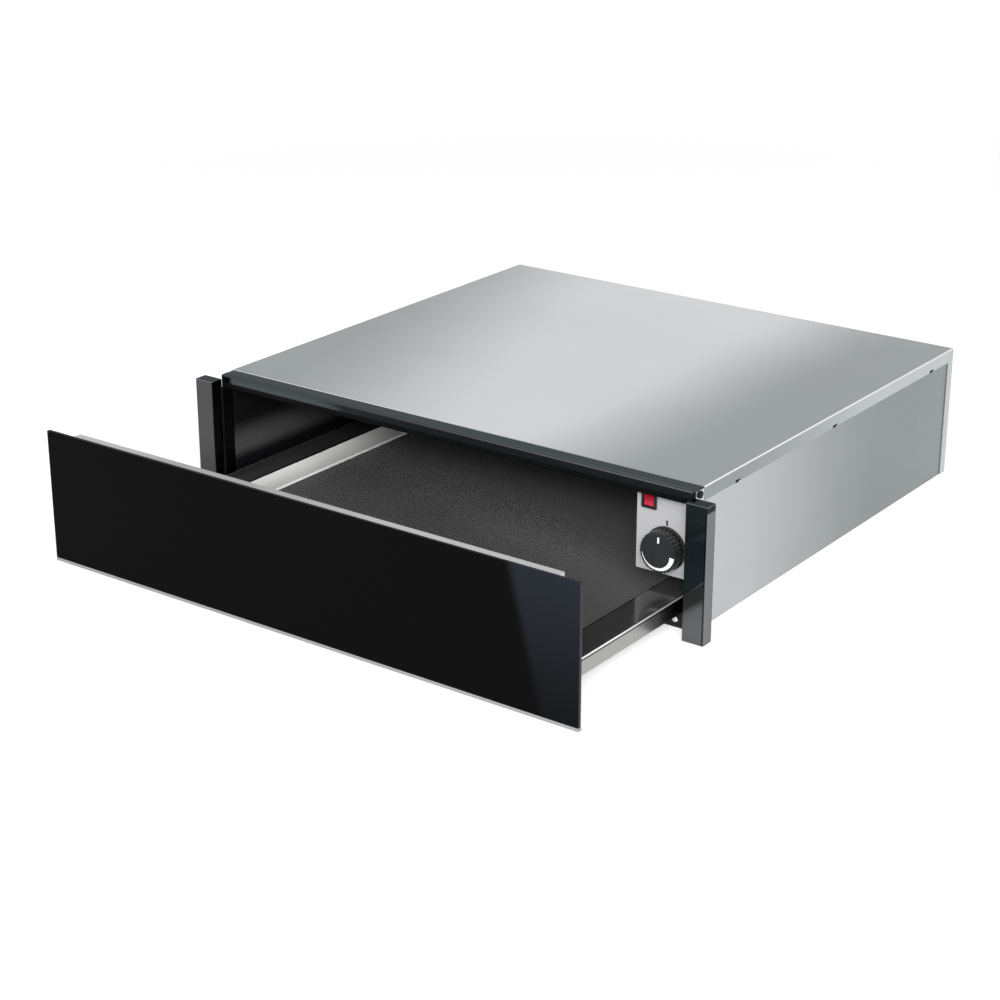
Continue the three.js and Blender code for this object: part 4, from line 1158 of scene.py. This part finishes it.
def bar_seal():
    """The rubber seal under the bar, with two soft lips."""
    low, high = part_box("bar_seal")
    half = high.x + 2.0 * MM
    depth = high.y - low.y
    profile = [
        (low.y + 0.7 * MM, low.z), (low.y, low.z + 0.9 * MM), (low.y, high.z - 1.6 * MM),
        (low.y + 0.5 * MM, high.z), (high.y, high.z), (high.y, low.z + 3.0 * MM),
        (low.y + 0.45 * depth, low.z + 2.6 * MM), (low.y + 0.3 * depth, low.z + 0.5 * MM),
        (low.y + 0.2 * depth, low.z),
    ]
    mesh = lofted([[(x, y, z) for y, z in profile] for x in (-half, half)])
    seal = new_piece("bar_seal_strip", mesh, "cabinet", "black_rubber", "black_rubber")
    ease(seal, 0.4 * MM, 3)
    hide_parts("bar_seal")


def pan_screw(side):
    """A bright pan head screw with a cross recess, in the lower cross member."""
    node = f"{side}_cross_screw"
    low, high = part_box(node)
    centre = middle_of(node)
    radius = (high.x - low.x) / 2
    shank = 0.5 * radius
    head = 1.9 * MM
    steps = [
        (0.45 * radius, low.y), (0.8 * radius, low.y + 0.2 * head), (0.97 * radius, low.y + 0.5 * head),
        (radius, low.y + 0.8 * head), (radius, low.y + head), (shank, low.y + head), (shank, high.y),
    ]
    mesh = lofted([ring([r] * 32, y, centre) for r, y in steps])
    screw = new_piece(f"{side}_pan_screw", mesh, "cabinet", "bright_steel", "screw_steel")
    reach, half = 0.62 * radius, 0.13 * radius
    cross = [(half, reach), (half, half), (reach, half)]
    for _ in range(3):
        cross += [(z, -x) for x, z in cross[-3:]]
    turned = [((x - z) * math.sqrt(0.5), (x + z) * math.sqrt(0.5)) for x, z in cross]
    depths = low.y - 0.5 * MM, low.y + 0.6 * head
    cut_away(screw, lofted([[(centre.x + x, y, centre.z + z) for x, z in turned] for y in depths]))
    ease(screw, 0.12 * MM)
    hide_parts(node)


# ------------------------------------------------------------------ pieces of the controls


def fluted_knob(face, skirt, grip):
    """The knob: a flat face, a grip with wide hollow flutes and narrow crests, and a plain skirt."""
    count, depth = sizes().knob_flutes, sizes().flute_depth
    around = count * 8
    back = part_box("thermostat_knob")[1].y
    skirt_front = back - 2.2 * MM

    def plain(radius):
        return [radius] * around

    def fluted(radius, deep):
        waves = [abs(math.sin(math.pi * count * step / around)) for step in range(around)]
        return [radius - deep * wave ** 1.5 for wave in waves]

    rows = [
        (plain(2.0 * MM), face + 0.35 * MM), (plain(grip - 2.6 * MM), face + 0.3 * MM),
        (plain(grip - 1.9 * MM), face + 0.1 * MM), (plain(grip - 1.3 * MM), face),
        (fluted(grip - 0.6 * MM, 0.3 * depth), face + 0.1 * MM),
        (fluted(grip - 0.15 * MM, 0.8 * depth), face + 0.45 * MM),
        (fluted(grip, depth), face + 1.0 * MM), (fluted(grip, depth), skirt_front - 0.9 * MM),
        (fluted(grip, 0.4 * depth), skirt_front - 0.25 * MM), (plain(grip), skirt_front),
        (plain(skirt - 0.4 * MM), skirt_front + 0.15 * MM), (plain(skirt), skirt_front + 0.6 * MM),
        (plain(skirt), back), (plain(skirt - 3.0 * MM), back),
    ]
    mesh = lofted([ring(radii, y, KNOB_MIDDLE) for radii, y in rows])
    for part in mesh.faces:
        on_face = part.normal.y < -0.75 and part.calc_center_median().y < face + 1.0 * MM
        part.material_index = 0 if on_face else 1
    knob = new_piece("fluted_knob", mesh, "dial", "black_plastic", "knob_plastic", "knob_flank")
    smooth(knob)
    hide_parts("thermostat_knob")


def knob_pointer(face, grip):
    """The white line that points at the scale."""
    half, inner, outer = 0.85 * MM, 0.46 * grip, 0.74 * grip
    outline = [
        (KNOB_MIDDLE.x + x, KNOB_MIDDLE.z + z)
        for x, z in ((-half, inner), (half, inner), (half, outer), (-half, outer))
    ]
    flat_print("knob_pointer", outline, face + 0.34 * MM, 0.3 * MM, "dial", "cream_plastic", "white_print")


def knob_sweep(face, grip):
    """The white sweep that grows from cool to hot, read round the lower half of the face."""
    count = 48
    start, reach = 190, 162
    outer, inner = [], []
    for step in range(count + 1):
        part = step / count
        angle = math.radians(start + part * reach)
        far = 0.87 * grip
        near = far - grip * (0.012 + 0.225 * part ** 1.2)
        for radius, row in ((far, outer), (near, inner)):
            row.append((KNOB_MIDDLE.x + radius * math.cos(angle), KNOB_MIDDLE.z + radius * math.sin(angle)))
    mesh = bmesh.new()
    depths = face + 0.34 * MM, face + 0.04 * MM
    pairs = [[mesh.verts.new((x, y, z)) for y in depths] for x, z in outer + inner[::-1]]
    total = len(pairs)
    for i in range(total):
        j = (i + 1) % total
        mesh.faces.new((pairs[i][0], pairs[j][0], pairs[j][1], pairs[i][1]))
    for i in range(count):
        a, b = pairs[i], pairs[i + 1]
        c, d = pairs[total - 2 - i], pairs[total - 1 - i]
        mesh.faces.new((a[1], b[1], c[1], d[1]))
        mesh.faces.new((d[0], c[0], b[0], a[0]))
    bmesh.ops.recalc_face_normals(mesh, faces=mesh.faces)
    new_piece("knob_sweep", mesh, "dial", "cream_plastic", "white_print")


# ------------------------------------------------------------------ pieces of the drawer


def side_skirt(side):
    """The outer skirt of the tray, with the bead along its top painted bright as a painted highlight."""
    skirt, bead, rim = range(3)
    node = f"{side}_side_skirt"
    low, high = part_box(node)
    crest = abs(low.x + high.x) / 2 - 0.05 * MM
    bead_bottom = high.z - 1.2 * MM

    def choose(face):
        middle = face.calc_center_median()
        if middle.z < bead_bottom:
            return skirt
        return bead if abs(middle.x) > crest else rim

    rebuilt(
        node, f"{side}_beaded_skirt", "bright_steel", ("skirt_steel", "bead_steel", "glossy_rim"),
        choose, 0.15 * MM,
    )


def tray_corner(side):
    """The round inner corner between the tray's floor and its side wall, painted white as a painted
    highlight.
    """
    mat_low, mat_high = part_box("drawer_mat")
    sign = SIGNS[side]
    wall = sizes().tray_wall
    reach = wall - mat_high.x - 0.1 * MM
    rise, buried = 3.6 * MM, 0.2 * MM
    section = [(wall + buried, -buried), (wall + buried, rise)]
    section += [(wall - reach * (1 - math.cos(turn)), rise * (1 - math.sin(turn))) for turn in quarter_turn()]
    mesh = lofted([[(sign * x, y, mat_low.z + z) for x, z in section] for y in (mat_low.y, mat_high.y)])
    smooth(new_piece(f"{side}_tray_corner", mesh, "drawer", "bright_steel", "corner_steel"))


# ------------------------------------------------------------------ operators


class DRAWER_OT_cabinet_shell(bpy.types.Operator):
    """Finish the base pan, side panels, rear panel and top cover"""

    bl_idname = "drawer.cabinet_shell"
    bl_label = "Cabinet shell"
    bl_options = {"REGISTER", "UNDO"}

    def execute(self, context):
        edge = sizes().sheet_edge
        dress([
            ("base_pan", "zinc_steel", edge),
            ("left_side_panel right_side_panel", "side_steel", edge),
        ])
        rebuilt(
            "rear_panel", "rear_panel_folded", "zinc_steel", ("zinc_steel", "fold_steel"),
            lambda face: 1 if abs(face.normal.x) > FACES_ALONG else 0, edge,
        )
        folded_cover()
        return {"FINISHED"}


class DRAWER_OT_front_frame(bpy.types.Operator):
    """Finish the posts, the bar, its seal, the cross members and the corner plates"""

    bl_idname = "drawer.front_frame"
    bl_label = "Front frame"
    bl_options = {"REGISTER", "UNDO"}

    def execute(self, context):
        dress([
            ("lower_cross_member upper_cross_member", "black_enamel", sizes().sheet_edge),
            ("left_corner_screw right_corner_screw", "shaded_black", 0.3 * MM),
        ])
        for side in SIGNS:
            frame_post(side)
            pan_screw(side)
            corner_block(side)
            corner_plate(side)
            gap_strip(side)
        top_bar()
        bar_seal()
        return {"FINISHED"}


class DRAWER_OT_cavity(bpy.types.Operator):
    """Finish the liner of the warm space and the insulation over it"""

    bl_idname = "drawer.cavity"
    bl_label = "Warm space"
    bl_options = {"REGISTER", "UNDO"}

    def execute(self, context):
        edge = sizes().sheet_edge
        dress([
            ("left_cavity_wall right_cavity_wall", "cavity_enamel", edge),
            ("air_baffle cavity_ceiling", "black_enamel", edge),
            ("ceiling_insulation", "mineral_wool", 1.5 * MM),
        ])
        return {"FINISHED"}


class DRAWER_OT_control_plate(bpy.types.Operator):
    """Finish the control plate, its box, the thermostat and its tube, and the switch housing"""

    bl_idname = "drawer.control_plate"
    bl_label = "Control plate"
    bl_options = {"REGISTER", "UNDO"}

    def execute(self, context):
        edge = sizes().sheet_edge
        dress([
            ("control_plate", "silver_plate", edge),
            ("control_box", "zinc_steel", edge),
            ("switch_housing", "black_plastic", 0.3 * MM),
            ("thermostat", "cream_plastic", 0.4 * MM),
            ("thermostat_shaft", "bright_steel", None),
            ("thermostat_capillary", "copper_tube", None),
        ])
        return {"FINISHED"}


class DRAWER_OT_knob(bpy.types.Operator):
    """Make the fluted thermostat knob with its printed pointer and sweep"""

    bl_idname = "drawer.knob"
    bl_label = "Thermostat knob"
    bl_options = {"REGISTER", "UNDO"}

    def execute(self, context):
        low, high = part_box("thermostat_knob")
        skirt = (high.x - low.x) / 2
        grip = skirt - 1.1 * MM
        fluted_knob(low.y, skirt, grip)
        knob_pointer(low.y, grip)
        knob_sweep(low.y, grip)
        return {"FINISHED"}


class DRAWER_OT_scale_mark(bpy.types.Operator):
    """Print the mark on the control plate that the knob's pointer starts from"""

    bl_idname = "drawer.scale_mark"
    bl_label = "Scale mark"
    bl_options = {"REGISTER", "UNDO"}

    def execute(self, context):
        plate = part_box("control_plate")[0].y
        left, right = KNOB_MIDDLE.x - 0.9 * MM, KNOB_MIDDLE.x + 0.9 * MM
        bottom, top = KNOB_MIDDLE.z + 20.8 * MM, KNOB_MIDDLE.z + 25.8 * MM
        outline = [(left, bottom), (right, bottom), (right, top), (left, top)]
        flat_print(
            "plate_mark", outline, plate + 0.01 * MM, 0.06 * MM, "cabinet", "black_plastic", "black_print"
        )
        return {"FINISHED"}


class DRAWER_OT_rocker(bpy.types.Operator):
    """Finish the red rocker of the switch"""

    bl_idname = "drawer.rocker"
    bl_label = "Switch rocker"
    bl_options = {"REGISTER", "UNDO"}

    def execute(self, context):
        dress([("switch_rocker", "red_rocker", 0.5 * MM)])
        return {"FINISHED"}


class DRAWER_OT_heater_fan(bpy.types.Operator):
    """Finish the heating element, the fan with its motor, and the cut-out"""

    bl_idname = "drawer.heater_fan"
    bl_label = "Heater and fan"
    bl_options = {"REGISTER", "UNDO"}

    def execute(self, context):
        dress([
            ("heating_element", "heater_sheath", None),
            ("fan_motor", "motor_enamel", 0.5 * MM),
            ("motor_bracket", "zinc_steel", sizes().sheet_edge),
            ("thermal_cutout", "black_plastic", 0.3 * MM),
            ("fan_wheel", "fan_aluminium", 0.15 * MM),
            ("fan_shaft", "bright_steel", None),
        ])
        return {"FINISHED"}


class DRAWER_OT_supply(bpy.types.Operator):
    """Finish the terminal block, the cable gland and the wiring"""

    bl_idname = "drawer.supply"
    bl_label = "Supply"
    bl_options = {"REGISTER", "UNDO"}

    def execute(self, context):
        dress([
            ("terminal_block", "cream_plastic", 0.4 * MM),
            ("cable_gland", "black_plastic", 0.3 * MM),
            ("wiring_harness", "black_plastic", None),
        ])
        return {"FINISHED"}


class DRAWER_OT_slides(bpy.types.Operator):
    """Finish the telescopic slides and their brackets"""

    bl_idname = "drawer.slides"
    bl_label = "Slides"
    bl_options = {"REGISTER", "UNDO"}

    def execute(self, context):
        edge = sizes().sheet_edge
        for side in SIGNS:
            dress([
                (f"{side}_cabinet_rail {side}_middle_rail {side}_drawer_rail", "bright_steel", edge),
                (f"{side}_rail_bracket", "zinc_steel", edge),
            ])
        return {"FINISHED"}


class DRAWER_OT_tray(bpy.types.Operator):
    """Finish the tray, its rims and skirts, and the mat in it"""

    bl_idname = "drawer.tray"
    bl_label = "Tray"
    bl_options = {"REGISTER", "UNDO"}

    def execute(self, context):
        edge = sizes().sheet_edge
        dress([
            ("drawer_tray", "tray_steel", edge),
            ("left_rim_cap right_rim_cap", "glossy_rim", edge),
            ("drawer_mat", "non_slip_mat", 0.4 * MM),
        ])
        for side in SIGNS:
            side_skirt(side)
            tray_corner(side)
        return {"FINISHED"}


class DRAWER_OT_front(bpy.types.Operator):
    """Finish the glass front, the trim under it, its carrier and the inner panel"""

    bl_idname = "drawer.front"
    bl_label = "Glass front"
    bl_options = {"REGISTER", "UNDO"}

    def execute(self, context):
        rebuilt(
            "glass_front", "glass_panel", "black_glass", ("black_glass", "glass_edge"),
            lambda face: 0 if face.normal.y < -FACES_ALONG or face.normal.z > FACES_ALONG else 1,
            sizes().glass_edge,
        )
        rebuilt(
            "inner_front_panel", "inner_panel", "bright_steel", ("tray_steel", "silver_carrier"),
            lambda face: 0 if face.normal.y > FACES_ALONG else 1, 0.1 * MM,
        )
        dress([
            ("bottom_trim", "pale_trim", sizes().sheet_edge),
            ("front_carrier", "silver_carrier", 0.1 * MM),
        ])
        return {"FINISHED"}


class DRAWER_OT_latch(bpy.types.Operator):
    """Finish the push latch, its plunger and the striker"""

    bl_idname = "drawer.latch"
    bl_label = "Push latch"
    bl_options = {"REGISTER", "UNDO"}

    def execute(self, context):
        dress([
            ("push_latch", "black_plastic", 0.3 * MM),
            ("latch_plunger", "cream_plastic", None),
            ("latch_striker", "zinc_steel", sizes().sheet_edge),
        ])
        return {"FINISHED"}


# ------------------------------------------------------------------ stage

STAGE_WHITE = (1.0, 1.0, 1.0, 1.0)
FLOOR_GREY = (0.66, 0.66, 0.66, 1.0)
FLOOR_LIFT = 0.5  # light that the floor adds to its own grey where it is looked at
FLOOR_FADE = 1.1, 1.9  # from the first to the second distance the floor turns plain white
FLOOR_RADIUS = 30.0
FLOOR_GAP = 0.3 * MM
SENSOR_WIDTH = 36.0
VIEW_REACH = 100.0


def white_for_eye(graph):
    """1 where the camera looks straight, by a mirror or through glass, otherwise 0."""
    path = graph.add("ShaderNodeLightPath").outputs
    seen = graph.maths("MAXIMUM", path["Is Camera Ray"], path["Is Glossy Ray"])
    return graph.maths("MAXIMUM", seen, path["Is Transmission Ray"])


def mix_shaders(graph, factor, first, second):
    """The first shader where factor is 0, the second where it is 1."""
    node = graph.add("ShaderNodeMixShader")
    for socket, value in zip(node.inputs, (factor, first, second)):
        graph.feed(socket, value)
    return node.outputs[0]


def emptied(owner):
    """The node tree of a new material or world, with nothing in it."""
    owner.use_nodes = True
    owner.node_tree.nodes.clear()
    return Graph(owner.node_tree)


def room(stage):
    """White where it is looked at, and a soft even light on everything else."""
    world = bpy.data.worlds.new("studio room")
    graph = emptied(world)
    light, white = [
        graph.add("ShaderNodeBackground", Color=STAGE_WHITE, Strength=strength).outputs[0]
        for strength in (stage.room_light, 1.0)
    ]
    graph.add("ShaderNodeOutputWorld", Surface=mix_shaders(graph, white_for_eye(graph), light, white))
    bpy.context.scene.world = world


def floor_material():
    """A pale floor: it keeps the shadow near the object and is plain white further out."""
    material = bpy.data.materials.new("pale floor")
    graph = emptied(material)
    seen = white_for_eye(graph)
    matt = graph.add("ShaderNodeBsdfDiffuse", Color=FLOOR_GREY).outputs[0]
    lift, white = [
        graph.add("ShaderNodeEmission", Color=STAGE_WHITE, Strength=strength).outputs[0]
        for strength in (FLOOR_LIFT, 1.0)
    ]
    both = graph.add("ShaderNodeAddShader")
    graph.feed(both.inputs[0], matt)
    graph.feed(both.inputs[1], lift)
    near = mix_shaders(graph, seen, matt, both.outputs[0])
    away = graph.maths("MULTIPLY", graph.spread(graph.vector("LENGTH", graph.place()), *FLOOR_FADE), seen)
    graph.add("ShaderNodeOutputMaterial", Surface=mix_shaders(graph, away, near, white))
    return material


def lay_floor():
    """A round floor just under the object."""
    mesh = bmesh.new()
    bmesh.ops.create_circle(mesh, cap_ends=True, cap_tris=False, segments=96, radius=FLOOR_RADIUS)
    data = bpy.data.meshes.new("studio_floor")
    mesh.to_mesh(data)
    mesh.free()
    data.materials.append(floor_material())
    floor = bpy.data.objects.new("studio_floor", data)
    floor.location.z = PACKED_BOX[0][2] - FLOOR_GAP
    bpy.context.scene.collection.objects.link(floor)


def hang_lamp(name, place, aim, size, power):
    """A soft lamp that looks at a point, and that shiny things don't mirror."""
    lamp = bpy.data.lights.new(name, "AREA")
    lamp.shape = "RECTANGLE"
    lamp.size, lamp.size_y = size
    lamp.energy = power
    holder = bpy.data.objects.new(name, lamp)
    holder.location = place
    holder.rotation_euler = (Vector(aim) - Vector(place)).to_track_quat("-Z", "Y").to_euler()
    holder.visible_glossy = False
    bpy.context.scene.collection.objects.link(holder)


def set_camera(stage):
    """The camera, turned and dipped as the stage says."""
    camera = bpy.data.cameras.new("main camera")
    camera.sensor_fit = "HORIZONTAL"
    camera.sensor_width = SENSOR_WIDTH
    camera.lens = stage.focal_length
    camera.clip_end = VIEW_REACH
    holder = bpy.data.objects.new("main camera", camera)
    holder.location = stage.camera_place
    holder.rotation_euler = (math.pi / 2 - stage.camera_dip, 0.0, stage.camera_turn)
    bpy.context.scene.collection.objects.link(holder)
    bpy.context.scene.camera = holder


class DRAWER_OT_stage(bpy.types.Operator):
    """Lay the floor, light the room and place the camera"""

    bl_idname = "drawer.stage"
    bl_label = "Stage"
    bl_options = {"REGISTER", "UNDO"}

    def execute(self, context):
        stage = context.scene.drawer_stage
        room(stage)
        lay_floor()
        # name, place, what it looks at, width and height, power
        for lamp in (
            ("key lamp", (1.8, -2.0, 1.6), (0.0, -0.2, 0.05), (1.4, 1.4), stage.key_light),
            ("front lamp", (1.3, -2.5, 1.3), (-0.1, -0.2, 0.02), (1.2, 0.5), stage.front_light),
            ("left lamp", (-2.2, -1.4, 1.8), (0.0, -0.2, 0.0), (1.4, 1.4), stage.side_light),
            ("back lamp", (1.1, 2.6, 1.7), (0.2, 0.0, 0.1), (0.8, 0.8), stage.back_light),
        ):
            hang_lamp(*lamp)
        set_camera(stage)
        context.scene.view_settings.view_transform = "Standard"
        return {"FINISHED"}


# ------------------------------------------------------------------ the add-on

OPERATORS = (
    DRAWER_OT_cabinet_shell,
    DRAWER_OT_front_frame,
    DRAWER_OT_cavity,
    DRAWER_OT_control_plate,
    DRAWER_OT_knob,
    DRAWER_OT_scale_mark,
    DRAWER_OT_rocker,
    DRAWER_OT_heater_fan,
    DRAWER_OT_supply,
    DRAWER_OT_slides,
    DRAWER_OT_tray,
    DRAWER_OT_front,
    DRAWER_OT_latch,
    DRAWER_OT_stage,
)
PROPERTY_GROUPS = {
    "drawer_sizes": DrawerSizes,
    "drawer_colours": DrawerColours,
    "drawer_stage": DrawerStage,
}


class DRAWER_PT_sidebar(bpy.types.Panel):
    """Lists the pieces and their sizes and colours"""

    bl_idname = "DRAWER_PT_sidebar"
    bl_label = "Warming drawer"
    bl_space_type = "VIEW_3D"
    bl_region_type = "UI"
    bl_category = "Warming drawer"

    def draw(self, context):
        for operator in OPERATORS:
            self.layout.operator(operator.bl_idname)
        for name, group in PROPERTY_GROUPS.items():
            box = self.layout.box()
            for value in group.__annotations__:
                box.prop(getattr(context.scene, name), value)


def register():
    for name, group in PROPERTY_GROUPS.items():
        bpy.utils.register_class(group)
        setattr(bpy.types.Scene, name, PointerProperty(type=group))
    for operator in OPERATORS:
        bpy.utils.register_class(operator)
    bpy.utils.register_class(DRAWER_PT_sidebar)


def unregister():
    bpy.utils.unregister_class(DRAWER_PT_sidebar)
    for operator in reversed(OPERATORS):
        bpy.utils.unregister_class(operator)
    for name, group in PROPERTY_GROUPS.items():
        delattr(bpy.types.Scene, name)
        bpy.utils.unregister_class(group)


def main():
    """Makes every piece and the stage."""
    register()
    for operator in OPERATORS:
        family, name = operator.bl_idname.split(".")
        getattr(getattr(bpy.ops, family), name)()


if __name__ == "__main__":
    main()
